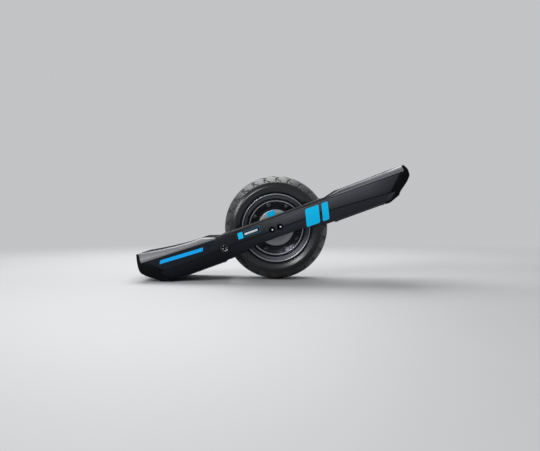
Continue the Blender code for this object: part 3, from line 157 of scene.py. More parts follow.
def named(name):
    obj = bpy.context.object
    obj.name = name
    obj.data.name = name
    return obj


def tidied(obj):
    editing(obj)
    bpy.ops.mesh.remove_doubles(threshold=merge)
    bpy.ops.mesh.normals_make_consistent(inside=False)
    doneEditing()
    return obj


def applied(obj, kind, **settings):
    modifier = obj.modifiers.new(kind.lower(), kind)
    for name, value in settings.items():
        setattr(modifier, name, value)
    choose(obj)
    bpy.ops.object.modifier_apply(modifier=modifier.name)
    return obj


def eased(obj, width, segments=2, angle=30):  # rounds the edges sharper than an angle
    limit = math.radians(angle)
    return applied(
        obj, "BEVEL", width=width, segments=segments, limit_method="ANGLE", angle_limit=limit
    )


def cutAway(obj, *tools):
    for tool in tools:
        applied(obj, "BOOLEAN", operation="DIFFERENCE", solver="EXACT", object=tool)
        bpy.data.objects.remove(tool)
    return obj


def joined(obj, *others):
    choose(obj, *others)
    bpy.ops.object.join()
    return obj


def baked(obj):  # puts its place, turn and size into its points
    choose(obj)
    bpy.ops.object.transform_apply(location=True, rotation=True, scale=True)
    return obj


def placed(obj, place):
    obj.matrix_world = place @ obj.matrix_world
    return baked(obj)


def spun(name, profile, steps, way=1, closed=False):  # (radius, along Y) points turned about Y
    path = [(r, way * y) for r, y in profile + (profile[:1] if closed else [])]
    bpy.ops.mesh.primitive_plane_add(size=0.001)
    obj = named(name)
    editing(obj)
    bpy.ops.mesh.merge(type="CENTER")
    bpy.ops.transform.translate(value=(*path[0], 0))
    for (r0, y0), (r1, y1) in zip(path, path[1:]):
        bpy.ops.mesh.extrude_region_move(
            TRANSFORM_OT_translate={"value": (r1 - r0, y1 - y0, 0)}
        )
    bpy.ops.mesh.select_all(action="SELECT")
    bpy.ops.mesh.spin(steps=steps, angle=math.tau, center=(0, 0, 0), axis=(0, 1, 0))
    doneEditing()
    return tidied(obj)


def flat(name, outline, y=0.0):  # a filled outline in X and Z
    bpy.ops.mesh.primitive_circle_add(vertices=len(outline), fill_type="NGON")
    obj = named(name)
    for vertex, (x, z) in zip(obj.data.vertices, outline):
        vertex.co = (x, y, z)
    return obj


def thickened(obj, depth):  # along Y
    editing(obj)
    bpy.ops.mesh.extrude_region_move(TRANSFORM_OT_translate={"value": (0, depth, 0)})
    doneEditing()
    return tidied(obj)


def drawn(name, outline, low, high):
    return thickened(flat(name, outline, low), high - low)


def slab(name, low, high):
    bpy.ops.mesh.primitive_cube_add(size=1)
    obj = named(name)
    obj.location = [(a + b) / 2 for a, b in zip(low, high)]
    obj.scale = [abs(b - a) for a, b in zip(low, high)]
    return baked(obj)


def post(name, start, end, radius, sides=32):  # a straight round rod between two points
    start, end = Vector(start), Vector(end)
    bpy.ops.mesh.primitive_cylinder_add(
        vertices=sides, radius=radius, depth=(end - start).length
    )
    obj = named(name)
    turn = Vector((0, 0, 1)).rotation_difference(end - start).to_matrix().to_4x4()
    return placed(obj, Matrix.Translation((start + end) / 2) @ turn)


def peg(name, spot, start, end, radius, sides=32):  # a rod along Y through an (x, z) spot
    x, z = spot
    return post(name, (x, start, z), (x, end, z), radius, sides)


def moulded(name, columns, rows, place):  # a grid whose points go where place(u, v) says
    bpy.ops.mesh.primitive_grid_add(x_subdivisions=columns, y_subdivisions=rows, size=1)
    obj = named(name)
    for vertex in obj.data.vertices:
        u = round((vertex.co.x + 0.5) * columns) / columns
        v = round((vertex.co.y + 0.5) * rows) / rows
        vertex.co = place(u, v)
    return obj


def splined(p, q, r, s, t):  # from q to r as t goes from 0 to 1
    bend = 2 * p - 5 * q + 4 * r - s
    return 0.5 * (2 * q + (r - p) * t + bend * t * t + (3 * q - p - 3 * r + s) * t**3)


def curveThrough(points, perSpan):  # a smooth line through points of any size
    padded = [points[0], *points, points[-1]]
    line = []
    for four in zip(padded, padded[1:], padded[2:], padded[3:]):
        for step in range(perSpan):
            line.append(tuple(splined(*values, step / perSpan) for values in zip(*four)))
    return line + [tuple(points[-1])]


def rounded(points, radius, steps=4):  # rounds the corners of a closed outline
    line = []
    for before, here, after in zip(points[-1:] + points[:-1], points, points[1:] + points[:1]):
        a, b, c = Vector(before), Vector(here), Vector(after)
        reach = min(radius, 0.45 * (a - b).length, 0.45 * (c - b).length)
        start = b + (a - b).normalized() * reach
        end = b + (c - b).normalized() * reach
        for i in range(steps + 1):
            t = i / steps
            line.append(tuple((1 - t) ** 2 * start + 2 * t * (1 - t) * b + t * t * end))
    return line


def mm(*points):  # millimetres in, metres out
    return [tuple(value / 1000 for value in point) for point in points]


def around(reach, angle):
    return reach * math.cos(angle), reach * math.sin(angle)


def between(value, low, high):
    return min(max(value, low), high)


def blended(low, high, value):  # 0 below low, 1 above high, smooth between them
    t = between((value - low) / (high - low), 0.0, 1.0)
    return t * t * (3 - 2 * t)


def alongLine(points, value):  # height of a broken line at a value
    for (x0, y0), (x1, y1) in zip(points, points[1:]):
        if value <= x1:
            break
    return y0 + (y1 - y0) * (value - x0) / (x1 - x0)


def settled(obj, look, slot, *replaced, body="board", place=boardPlace, angle=30):
    placed(obj, place)
    bpy.ops.object.shade_smooth_by_angle(angle=math.radians(angle))
    obj.data.materials.clear()
    obj.data.materials.append(finishes[look])
    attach(obj, body)
    if replaced:
        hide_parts(*replaced)


# Materials


class Wire:  # a shader socket that can stand in a sum
    def __init__(self, tree, socket):
        self.tree = tree
        self.socket = socket

    def make(self, kind, settings, sockets, output=0):
        node = self.tree.nodes.new("ShaderNode" + kind)
        for name, value in settings.items():
            setattr(node, name, value)
        for name, value in sockets.items():
            self.feed(node.inputs[name], value)
        return Wire(self.tree, node.outputs[output])

    def feed(self, socket, value):
        if isinstance(value, Wire):
            self.tree.links.new(value.socket, socket)
        else:
            socket.default_value = value

    def maths(self, operation, other=0.0, clamp=False):
        settings = {"operation": operation, "use_clamp": clamp}
        return self.make("Math", settings, {0: self, 1: other})

    def __add__(self, other):
        return self.maths("ADD", other)

    def __sub__(self, other):
        return self.maths("SUBTRACT", other)

    def __rsub__(self, other):
        return self.make("Math", {"operation": "SUBTRACT"}, {0: other, 1: self})

    def __mul__(self, other):
        return self.maths("MULTIPLY", other)

    __radd__ = __add__
    __rmul__ = __mul__

    def step(self, low, high):  # 0 at low and 1 at high, clamped
        return (self - low).maths("MULTIPLY", 1 / (high - low), clamp=True)

    def near(self, full, none):  # 1 up to one distance from zero, 0 from another on
        return 1 - self.maths("ABSOLUTE").step(full, none)

    def waves(self, scale):
        return (self * scale).maths("SINE")

    def noise(self, scale, detail=4.0):
        sockets = {"Vector": self, "Scale": scale, "Detail": detail, "Roughness": 0.55}
        return self.make("TexNoise", {}, sockets)

    def cells(self, scale, output="Distance", **settings):
        return self.make("TexVoronoi", settings, {"Vector": self, "Scale": scale}, output)

    def turned(self, spot=(0, 0, 0), turn=(0, 0, 0), size=(1, 1, 1)):
        sockets = {"Vector": self, "Location": spot, "Rotation": turn, "Scale": size}
        return self.make("Mapping", {"vector_type": "TEXTURE"}, sockets)

    def parts(self):
        return [self.make("SeparateXYZ", {}, {0: self}, i) for i in range(3)]

    def paint(self, first, second):  # first where this is 0, second where it is 1
        first, second = [c if isinstance(c, Wire) else (*c, 1) for c in (first, second)]
        return self.make("Mix", {"data_type": "RGBA"}, {0: self, 6: first, 7: second}, 2)

    def raised(self, height):  # a bump of that many metres
        return self.make("Bump", {}, {"Height": self, "Distance": height, "Strength": 1.0})


def freshLook(name):  # a material, its shader and where on the object it is
    material = bpy.data.materials.new(name)
    material.use_nodes = True
    tree = material.node_tree
    spot = Wire(tree, tree.nodes.new("ShaderNodeTexCoord").outputs["Object"])
    return material, tree.nodes["Principled BSDF"], spot


def finish(name, look, specular=0.5, **fixed):  # look(spot) gives what changes over the surface
    material, shader, spot = freshLook(name)
    fixed["Specular IOR Level"] = specular
    for socket, value in {**fixed, **look(spot)}.items():
        spot.feed(shader.inputs[socket.replace("_", " ")], value)
    return material


def distance(a, b):
    return (a * a + b * b).maths("SQRT")


def boardSpot(spot):  # the board's own axes
    return spot.turned(axleSpot, (0, -lean, 0))


def wheelReach(spot):  # distance from the axle
    x, y, z = spot.turned(axleSpot).parts()
    return distance(x, z)


def tyreLook(spot):
    reach = wheelReach(spot)
    mottle = spot.noise(28, 6)
    grain = spot.noise(1400, 2)
    side = 1 - reach.step(0.1222, 0.1238)
    dust = spot.noise(90, 5).step(0.5, 0.75) * (1 - side)
    rubber = mottle.paint((0.008, 0.0085, 0.0095), (0.016, 0.017, 0.0188))
    wall = mottle.paint((0.0045, 0.0055, 0.0075), (0.008, 0.0095, 0.0125))
    rings = reach.waves(4200) * side * 0.02
    return {
        "Base Color": side.paint(dust.paint(rubber, (0.04, 0.041, 0.043)), wall),
        "Roughness": 0.45 + mottle * 0.12 - side * 0.27,
        "Normal": (grain * (0.7 - side * 0.66) + rings).raised(0.00018),
    }


def rimLook(spot):
    reach = wheelReach(spot)
    line = reach.step(0.0893, 0.0897) * (1 - reach.step(0.0950, 0.0956))
    band = reach.step(0.0800, 0.0804) * (1 - reach.step(0.0892, 0.0896))
    mottle = spot.noise(60)
    dark = band.paint((0.006, 0.0065, 0.008), (0.055, 0.058, 0.066))
    turnLines = reach.waves(9000) * band * 0.4
    return {
        "Base Color": line.paint(dark, (0.4, 0.412, 0.445)),
        "Metallic": 0.4 + band * 0.3 + line * 0.5,
        "Roughness": 0.3 + mottle * 0.1 - line * 0.06,
        "Normal": (spot.noise(900, 2) * 0.5 + turnLines).raised(0.00005),
    }


def coverLook(spot):
    reach = wheelReach(spot)
    disc = 1 - reach.step(0.0487, 0.0495)
    lip = reach.step(0.0716, 0.0722)
    mottle = spot.noise(120, 5)
    dish = mottle.paint((0.04, 0.0425, 0.049), (0.058, 0.061, 0.069))
    face = mottle.paint((0.32, 0.329, 0.355), (0.42, 0.43, 0.46))
    turnLines = reach.waves(7500) * disc * 0.5
    return {
        "Base Color": lip.paint(disc.paint(dish, face), (0.4, 0.415, 0.45)),
        "Metallic": 0.85 - disc * 0.6,
        "Roughness": 0.22 + mottle * 0.08 + disc * 0.12,
        "Normal": (spot.noise(1500, 2) * 0.5 + turnLines).raised(0.00004),
    }


def anodisedLook(spot):
    x, y, z = boardSpot(spot).parts()
    back = 0 - x
    span = (rail["rampEnd"], rail["endCrease"])
    nose, tail = x.step(*span), back.step(*span)
    crease = rail["crease"] - nose * (rail["crease"] - rail["noseCrease"])
    crease = crease - tail * (rail["crease"] - rail["tailCrease"])
    top = board["railTop"] + back.step(board["boxStart"], rail["endTop"]) * rail["flare"]
    under = (crease - z).step(0.0, 0.0005)
    height = (z - crease).maths("DIVIDE", top - crease, clamp=True)
    paintedShadeLines = x.near(0.158, 0.160) * (z - 0.0231).near(0.0004, 0.0009)  # painted shade: a dark line just below the rail's top, between the footpads
    # painted shade: a dark band at the rail's top edge under the front footpad
    paintedShadeLines = paintedShadeLines.maths("MAXIMUM", (z - top).step(-0.0018, -0.0014) * x.step(0.160, 0.162) * 0.8)
    # painted shade: a dark line along the crease groove, joined with the lines above
    cellSeamsAndRailShade = (z - crease).near(0.0009, 0.0015).maths("MAXIMUM", paintedShadeLines)
    foot = (-0.0325 - z).step(0.0, 0.0006) * x.step(0.11, 0.15)  # the lit edge under the nose
    # the same painted highlight also covers the end of the lower facet by the bumper joint
    tongue = (x * 0.649 - z * 0.761 - 0.2181).step(0.0, 0.0008) * under
    foot = foot.maths("MAXIMUM", tongue)
    # painted shade: inside each bolt recess the rail is painted near black
    brim = (rail["recess"] - 0.0002, rail["recess"] + 0.0001)
    recess = 1.0
    for middle in (-rail["boltPlace"], rail["boltPlace"]):
        recess = distance(x - middle, z).step(*brim) * recess
    mottle = spot.noise(7, 3)
    # painted light and shade: the upper facet is paler towards its top, darker towards the tail and
    # near black at the nose end
    upper = height.paint((0.026, 0.0285, 0.0345), (0.086, 0.0895, 0.103))
    upper = x.step(-0.10, 0.045).paint((0.008, 0.0095, 0.013), upper)
    upper = x.step(0.27, 0.40).paint(upper, (0.003, 0.0035, 0.005))
    # painted shade: the lower facet is darker than the upper one, and darker still towards the tail
    lower = x.step(-0.15, 0.02).paint((0.002, 0.0035, 0.0065), (0.0225, 0.0255, 0.032))
    base = foot.paint(under.paint(upper, lower), (0.045, 0.043, 0.044))
    base = (mottle * 0.2).paint(cellSeamsAndRailShade.paint(base, (0.002, 0.003, 0.0045)), (0.012, 0.013, 0.016))
    return {
        "Base Color": recess.paint((0.0008, 0.0008, 0.001), base),
        "Metallic": 1 - recess * 0.6,
        "Roughness": 0.34 + mottle * 0.1,
        "Normal": (spot.noise(2600, 2) * 0.7).raised(0.00005),
    }


def mouldedLook(dark, pale, roughness, grainSize=700, depth=0.00012):
    def look(spot):
        pebbles = spot.cells(grainSize, feature="SMOOTH_F1")
        mottle = spot.noise(16, 4)
        rubbed = spot.noise(130, 6).step(0.55, 0.8)
        worn = tuple(1.5 * c for c in pale)
        return {
            "Base Color": (rubbed * 0.5).paint(mottle.paint(dark, pale), worn),
            "Roughness": roughness - 0.08 + mottle * 0.16 - rubbed * 0.06,
            "Normal": (pebbles + spot.noise(2200, 2) * 0.4).raised(depth),
        }

    return look


def gripLook(spot):
    x, y, z = boardSpot(spot).parts()
    top = y.near(0.1035, 0.1055)
    roll = 1 - top  # the smooth sides of the pads
    front = x.step(-0.01, 0.01)
    paintedWheelShade = (1 - x.step(0.15, 0.28)) * front  # painted shade: the front pad's sides darken towards the wheel
    dull = (1 - x.step(0.325, 0.345)) * front
    grit = spot.cells(1150, feature="F1")
    cell = spot.cells(1150, "Color")
    patch = spot.noise(9, 4)
    glint = cell.make("SeparateColor", {}, {0: cell}).step(0.93, 0.97) * grit.near(0.15, 0.4)
    base = patch.paint((0.024, 0.0248, 0.027), (0.042, 0.0434, 0.0465))
    satin = patch.paint((0.18, 0.183, 0.195), (0.235, 0.239, 0.254))
    # painted shade on the front pad's sides near the wheel
    satin = (paintedWheelShade * 0.85).paint(satin, (0.012, 0.0125, 0.015))
    grain = (1 - grit) * 0.9 + spot.noise(2400, 3) * 0.5
    return {
        "Base Color": roll.paint(glint.paint(base, (0.2, 0.205, 0.215)), satin),
        "Roughness": 0.9 - glint * 0.45 * top - roll * 0.52,
        "Coat Weight": roll * (0.8 - dull * 0.7),
        "Normal": (grain * (1 - roll * 0.94)).raised(0.0005),
    }


def boltLook(spot):
    x, y, z = boardSpot(spot).parts()
    own = x.step(-0.001, 0.001) * (-2 * rail["boltPlace"]) + x + rail["boltPlace"]
    # the bare metal in each hex socket is drawn as a bright spot moved off the socket's centre to
    # where the light catches it: part the metal's own colour, part painted highlight
    socket = 1 - distance(own - 0.0010, z + 0.0006).step(0.0021, 0.0026)
    mottle = spot.noise(400)
    black = mottle.paint((0.001, 0.001, 0.0012), (0.003, 0.003, 0.0035))
    return {
        "Base Color": socket.paint(black, (0.8, 0.81, 0.83)),
        "Roughness": 0.34 + mottle * 0.08 - socket * 0.16,
        "Normal": spot.noise(2400, 2).raised(0.00003),
    }


def socketLook(spot):
    x, y, z = boardSpot(spot).turned((rail["portPlace"], 0, rail["portHeight"])).parts()
    reach = distance(x, z)
    lip = reach.step(0.0104, 0.0107)
    shell = reach.step(0.0084, 0.0087) * (1 - reach.step(0.0101, 0.0104))  # a bright ring
    mottle = spot.noise(300)
    black = lip.paint((0.0015, 0.0016, 0.002), (0.02, 0.021, 0.024))
    bright = mottle.paint((0.13, 0.134, 0.145), (0.19, 0.195, 0.21))
    return {
        "Base Color": shell.paint(black, bright),
        "Metallic": lip.maths("MAXIMUM", shell) * 0.95,
        "Roughness": 0.3 - shell * 0.08 + mottle * 0.06,
        "Normal": spot.noise(2000, 2).raised(0.00003),
    }


def metalLook(dark, pale, roughness):
    def look(spot):
        mottle = spot.noise(60, 5)
        return {
            "Base Color": mottle.paint(dark, pale),
            "Roughness": roughness - 0.05 + mottle * 0.14,
            "Normal": (spot.noise(2400, 2) + mottle * 0.3).raised(0.00004),
        }

    return look


def windingLook(spot):
    tone = spot.noise(400, 3)
    return {
        "Base Color": tone.paint((0.5, 0.19, 0.07), (0.78, 0.36, 0.16)),
        "Roughness": 0.3 + tone * 0.2,
        "Normal": wheelReach(spot).waves(5200).raised(0.0002),
    }


def circuitLook(spot):
    local = boardSpot(spot)
    black, white = (0, 0, 0, 1), (1, 1, 1, 1)
    sockets = {"Vector": local, "Scale": 130.0, "Color1": black, "Color2": white}
    sockets.update({"Mortar": white, "Mortar Size": 0.05})
    tracks = local.make("TexBrick", {"offset": 0.37}, sockets, 1)
    pads = local.cells(260).step(0.12, 0.16)
    green = spot.noise(200).paint((0.006, 0.06, 0.028), (0.01, 0.09, 0.04))
    return {
        "Base Color": pads.paint((0.6, 0.55, 0.35), tracks.paint(green, (0.02, 0.16, 0.07))),
        "Roughness": 0.32 + pads * 0.1,
        "Normal": tracks.raised(0.00004),
    }


def cellLook(spot):
    local = boardSpot(spot)
    cellSeamsAndRailShade = local.parts()[0].waves(96).step(0.93, 0.98)
    wrinkle = local.turned(size=(0.2, 1, 1)).noise(240, 4)
    wrap = wrinkle.paint((0.02, 0.09, 0.26), (0.03, 0.13, 0.36))
    return {
        "Base Color": cellSeamsAndRailShade.paint(wrap, (0.5, 0.52, 0.55)),
        "Roughness": 0.3 + wrinkle * 0.2,
        "Normal": wrinkle.raised(0.0003),
    }


def lensLook(spot):
    haze = spot.noise(300, 3)
    return {
        "Base Color": haze.paint((0.86, 0.88, 0.9), (0.95, 0.96, 0.97)),
        "Roughness": 0.12 + haze * 0.1,
        "Normal": spot.noise(60, 2).raised(0.0001),
    }


def inkLook(colour):
    def look(spot):
        fade = spot.noise(40, 4)
        return {
            "Base Color": (fade * 0.35).paint(colour, tuple(0.82 * c for c in colour)),
            "Roughness": 0.4 + fade * 0.12,
            "Normal": spot.noise(1800, 2).raised(0.00003),
        }

    return look


bumperLook = mouldedLook((0.0012, 0.0014, 0.002), (0.0028, 0.0034, 0.005), 0.42)
finishes = {
    "tyre": finish("tyreRubber", tyreLook, specular=0.45),
    "rim": finish("rimGloss", rimLook),
    "cover": finish("castCover", coverLook),
    "rail": finish("anodisedRail", anodisedLook, specular=0.18),
    "bumper": finish("mouldedBumper", bumperLook, specular=0.06),
    "grip": finish("grit", gripLook, specular=0.03, Coat_Roughness=0.36),
    "axleBolt": finish("axleBolt", boltLook, Metallic=1.0),
    "socket": finish("socketBlack", socketLook, specular=0.12),
    "copper": finish("copperWire", windingLook, Metallic=0.95),
    "circuit": finish("circuitBoard", circuitLook),
    "cells": finish("cellWrap", cellLook, Coat_Weight=0.4),
    "lens": finish("lens", lensLook, Transmission_Weight=0.55, IOR=1.49),
    "lamp": finish("lampPhosphor", inkLook((0.75, 0.62, 0.2))),
    "cyan": finish("cyanInk", inkLook((0.0, 0.55, 0.96)), specular=0.15),
    "blue": finish("blueInk", inkLook((0.0, 0.4, 0.92)), specular=0.15),
    "frameInk": finish("frameInk", inkLook((0.01, 0.16, 0.28)), specular=0.15),
    "white": finish("whiteInk", inkLook((0.62, 0.64, 0.67)), specular=0.3),
    "vinyl": finish("darkVinyl", inkLook((0.004, 0.0075, 0.0125)), specular=0.12),
}
mouldings = (
    ("core", "padFoam", (0.13, 0.132, 0.143), (0.17, 0.172, 0.185), 0.4, 420, 0.00006),
    ("trim", "satinTrim", (0.008, 0.008, 0.009), (0.014, 0.014, 0.016), 0.38, 900, 0.00005),
    ("box", "boxPlastic", (0.018, 0.0185, 0.021), (0.026, 0.027, 0.03), 0.52),
    ("cable", "cableSheath", (0.009, 0.009, 0.01), (0.016, 0.016, 0.018), 0.45, 1200, 0.00005),
)
for key, name, *values in mouldings:
    finishes[key] = finish(name, mouldedLook(*values))
metals = (
    ("steel", "steel", 1.0, (0.42, 0.43, 0.45), (0.58, 0.59, 0.61), 0.28),
    ("aluminium", "aluminium", 1.0, (0.46, 0.47, 0.49), (0.62, 0.63, 0.65), 0.36),
    ("bolt", "blackOxide", 0.9, (0.035, 0.036, 0.04), (0.07, 0.072, 0.078), 0.3),
    ("port", "gunmetal", 0.95, (0.1, 0.103, 0.11), (0.17, 0.175, 0.185), 0.25),
)
for key, name, metallic, *values in metals:
    finishes[key] = finish(name, metalLook(*values), Metallic=metallic)
print("finishes made:", len(finishes))


# The tyre

tread = {
    "crown": 0.158,
    "half": 0.077,
    "pitches": 25,
    "groove": 0.0036,
    "notch": 0.0022,
    "steps": 650,
    "crownSteps": 36,
}


def treadRadius(along):
    return board["tyreRadius"] - tread["crown"] + math.sqrt(tread["crown"] ** 2 - along**2)


def grooveDepth(along, angle):
    reach = abs(along) / tread["half"]
    pitch = math.tau * board["tyreRadius"] / tread["pitches"]
    turn = (angle + math.pi / 2) / math.tau * tread["pitches"]
    fade = 1 - blended(0.955, 1.0, reach)
    swing = [(0.0, 1.0), (0.24, 0.95), (0.58, 0.28), (0.68, 0.55), (1.0, 0.0), (1.2, -0.1)]
    away = turn - alongLine(swing, reach)
    away = abs(away - round(away)) * pitch
    tilt = 1.33 if 0.24 < reach < 0.58 else 1.05
    width = 0.0009 + 0.0005 * blended(0.45, 0.62, reach)
    deep = tread["groove"] * blended(0.16, 0.24, reach) * (1 - 0.45 * blended(0.6, 0.8, reach))
    groove = deep * (1 - blended(width, width + 0.0013, away / tilt))
    away = turn - 0.5
    away = abs(away - round(away)) * pitch
    notch = tread["notch"] * blended(0.76, 0.82, reach) * (1 - blended(0.0010, 0.0024, away))
    return fade * max(groove, notch)


def makeTyre():
    outer = []
    for i in range(tread["crownSteps"] + 1):
        along = tread["half"] * i / tread["crownSteps"]
        outer.append((treadRadius(along), along))
    side = mm((123.5, 77), (117, 80.6), (111.5, 82.4), (106.2, 81.3), (98.5, 78.8))
    side = curveThrough(side, 5)[1:]
    side = [(r, y + 0.0004 * math.exp(-(((r - 0.0992) / 0.0006) ** 2))) for r, y in side]
    bead = mm(
        (97.5, 77.7), (96.9, 76.6), (96.5, 75.2), (95.8, 70.5), (95, 66), (94.4, 62.2),
        (80, 62.2), (80, 50.3), (94, 54), (110.5, 75.5), (118.5, 68.5), (134.5, 0),
    )
    half = outer + side + bead
    profile = half + [(r, -y) for r, y in reversed(half[1:-1])]
    tyre = spun("tyreRubber", profile, tread["steps"], closed=True)
    cut = tyre.vertex_groups.new(name="tread")
    for vertex in tyre.data.vertices:
        x, y, z = vertex.co
        if math.hypot(x, z) > treadRadius(min(abs(y), 0.0826)) - 0.0035:
            depth = grooveDepth(y, math.atan2(z, x))
            if depth > 0.00001:
                cut.add([vertex.index], depth / tread["groove"], "REPLACE")
    applied(
        tyre, "DISPLACE", vertex_group="tread", direction="NORMAL", mid_level=0.0,
        strength=-tread["groove"],
    )
    settled(tyre, "tyre", "tyre_rubber", "tyre", body="wheel", place=wheelPlace, angle=40)
    print("tyre made:", len(tyre.data.polygons), "faces")


makeTyre()


# Rim, motor covers and valve


def makeRim():
    half = mm(
        (70.5, 31), (78.5, 37), (79.5, 40), (79.5, 62), (90.8, 62.4), (93.2, 63.4), (94, 64.8),
        (93.8, 67.2), (93.5, 68.4), (92.7, 69), (91.7, 69.2), (90.7, 68.9), (89.9, 68.1),
        (89.2, 66.9), (88.2, 66.2), (84, 65.6), (80.6, 65.3), (79.6, 64.6), (78.8, 63),
        (77.3, 59), (76.6, 56.2), (76.3, 50), (76.3, 44.2), (67.4, 44.2),
    )
    profile = half + [(r, -y) for r, y in reversed(half)]
    rim = spun("hubRim", profile, 160, closed=True)
    valveSpot = around(0.0837, math.radians(158))
    cutAway(rim, peg("valvePocket", valveSpot, -0.0645, -0.09, 0.0046))
    settled(rim, "rim", "rim_black", "hub_rim", body="wheel", place=wheelPlace, angle=32)
    stem = mm(
        (0, 64.8), (4.2, 64.8), (4.2, 66.8), (3.6, 68.6), (2.9, 69.4), (2.7, 70), (2.7, 70.6),
        (3, 70.9), (3, 76.6), (2.6, 77.4), (0, 77.6),
    )
    place = wheelPlace @ Matrix.Translation((valveSpot[0], 0, valveSpot[1]))
    valve = spun("valveStem", stem, 24, -1)
    settled(valve, "trim", "valve_rubber", "valve_stem", body="wheel", place=place, angle=35)
    print("rim made")


makeRim()

cover = {
    "bolts": 8,
    "boltCircle": 0.0645,
    "head": 0.0040,
    "ribs": 24,
    "ribStart": 0.0588,
    "ribEnd": 0.0706,
    "dishSlope": 0.30,
}


def makeCovers():
    ring = mm(
        (75.7, 44.6), (75.9, 51.6), (75.6, 52.4), (74.9, 52.9), (73.5, 53), (72.4, 52.7),
        (71.6, 51.6), (71, 49.6), (69, 48.8), (64, 47.3), (59.2, 45.9), (56, 44.9), (54.6, 44.6),
        (53.7, 45.1), (52.8, 47.2), (51.5, 52.1), (50.7, 53.7), (49.5, 54.5), (47, 54.7),
        (46.4, 54.1), (45.6, 54.1), (45, 54.7), (30, 54.7), (28.8, 54), (27.6, 54), (26.4, 54.8),
        (18, 54.8), (16.5, 54), (11.5, 54), (11.5, 52.6), (21.2, 52.6), (21.2, 40.2), (27, 40.2),
        (57.5, 40.6), (67, 44.6),
    )
    for side, outward in sides:
        body = spun("motorCover" + side.title(), ring, 120, outward, closed=True)
        extras = []
        for i in range(cover["bolts"]):
            spot = around(cover["boltCircle"], math.tau * (i + 0.4) / cover["bolts"])
            boss = peg("boss", spot, outward * 0.0455, outward * 0.0489, 0.0063, 24)
            head = peg("head", spot, outward * 0.0480, outward * 0.0519, cover["head"], 20)
            extras += [eased(boss, 0.0006), eased(head, 0.0005)]
            cutAway(head, peg("hex", spot, outward * 0.0500, outward * 0.06, 0.0021, 6))
        for i in range(cover["ribs"]):
            if i % 3 == 1:
                continue
            angle = math.tau * (i + 0.2) / cover["ribs"]
            low = (cover["ribStart"], outward * 0.0440, -0.0011)
            rib = slab("rib", low, (cover["ribEnd"], outward * 0.0470, 0.0011))
            for vertex in rib.data.vertices:  # lies along the dish
                vertex.co.y += outward * cover["dishSlope"] * (vertex.co.x - cover["ribStart"])
            eased(rib, 0.0006)
            extras.append(placed(rib, Matrix.Rotation(-angle, 4, "Y")))
        joined(body, *extras)
        replaced = "motor_cover_" + side
        settled(body, "cover", "cover_grey", replaced, body="wheel", place=wheelPlace, angle=32)
    plate = mm((-12.6, -8.5), (10.8, -8.5), (12.6, 8.5), (-10.8, 8.5))
    badge = drawn("hubPlate", rounded(plate, 0.003), -0.0556, -0.0544)
    eased(badge, 0.0003, 1, 50)
    turn = Matrix.Rotation(-math.radians(20), 4, "Y")
    place = wheelPlace @ turn @ Matrix.Translation((0, 0, 0.0392))
    settled(badge, "cyan", "cover_grey", body="wheel", place=place, angle=35)
    print("covers made")


makeCovers()


# The rails


def railBottom(x):
    share = between((abs(x) - rail["waistHalf"]) / (rail["rampEnd"] - rail["waistHalf"]), 0, 1)
    return board["railBottom"] + rail["waistRise"] * (1 - share)


def railTop(x):  # the upper edge, which rises behind the wheel
    share = max((-x - board["boxStart"]) / (rail["endTop"] - board["boxStart"]), 0)
    return board["railTop"] + rail["flare"] * share


def creaseHeight(x):
    share = max((abs(x) - rail["rampEnd"]) / (rail["endCrease"] - rail["rampEnd"]), 0)
    end = rail["noseCrease"] if x > 0 else rail["tailCrease"]
    return rail["crease"] + (end - rail["crease"]) * share


def railFace(x, z):  # how far out the rail's side is
    crease, bottom = creaseHeight(x), railBottom(x)
    if z > crease:
        share = (z - crease) / (railTop(x) - crease)
        return board["railOuter"] - rail["topLean"] * share
    return board["railOuter"] - rail["underLean"] * (crease - z) / (crease - bottom)


def railRing(x):  # one closed cross-section, as (y, z) points
    top, inner, bottom, crease = railTop(x), board["railInner"], railBottom(x), creaseHeight(x)
    outerTop, outerLow = railFace(x, top), railFace(x, bottom)
    b, g = rail["bevel"], rail["groove"]
    floor = inner + rail["channelDepth"]
    ring = [(inner, top)]
    for i in range(5):
        y, z = around(b, math.pi / 2 * (1 - i / 4))
        ring.append((outerTop - b + y, top - b + z))
    for share in (0.33, 0.66):
        z = top - b + (crease + g - top + b) * share
        ring.append((railFace(x, z), z))
    ring += [(railFace(x, crease + g), crease + g), (railFace(x, crease) - g * 1.2, crease),
             (railFace(x, crease - g), crease - g)]
    for share in (0.5, 1.0):
        z = crease - g + (bottom + 2.4 * b - crease + g) * share
        ring.append((railFace(x, z), z))
    ring += [(outerLow - 0.35 * b, bottom + 1.1 * b), (outerLow - 0.9 * b, bottom + 0.25 * b),
             (outerLow - 1.4 * b, bottom)]
    lip, high = rail["channelLip"], board["railTop"]
    ring += [(inner, bottom), (inner, bottom + lip), (floor, bottom + lip), (floor, high - lip),
             (inner, high - lip)]
    return ring


def jointLine(along, out=0.0):  # where a rail meets its bumper, from the top down
    crease = creaseHeight(along * rail["endCrease"])
    bottom = board["railBottom"]
    line = [
        (rail["endTop"], railTop(along * rail["endTop"])),
        (rail["endCrease"], crease + 0.0006),
        (rail["tongueTip"], crease - 0.0025),
        (rail["tongueHeel"], bottom + 0.0025),
        (rail["endBottom"], bottom),
    ]
    return [(x + out, z) for x, z in line]


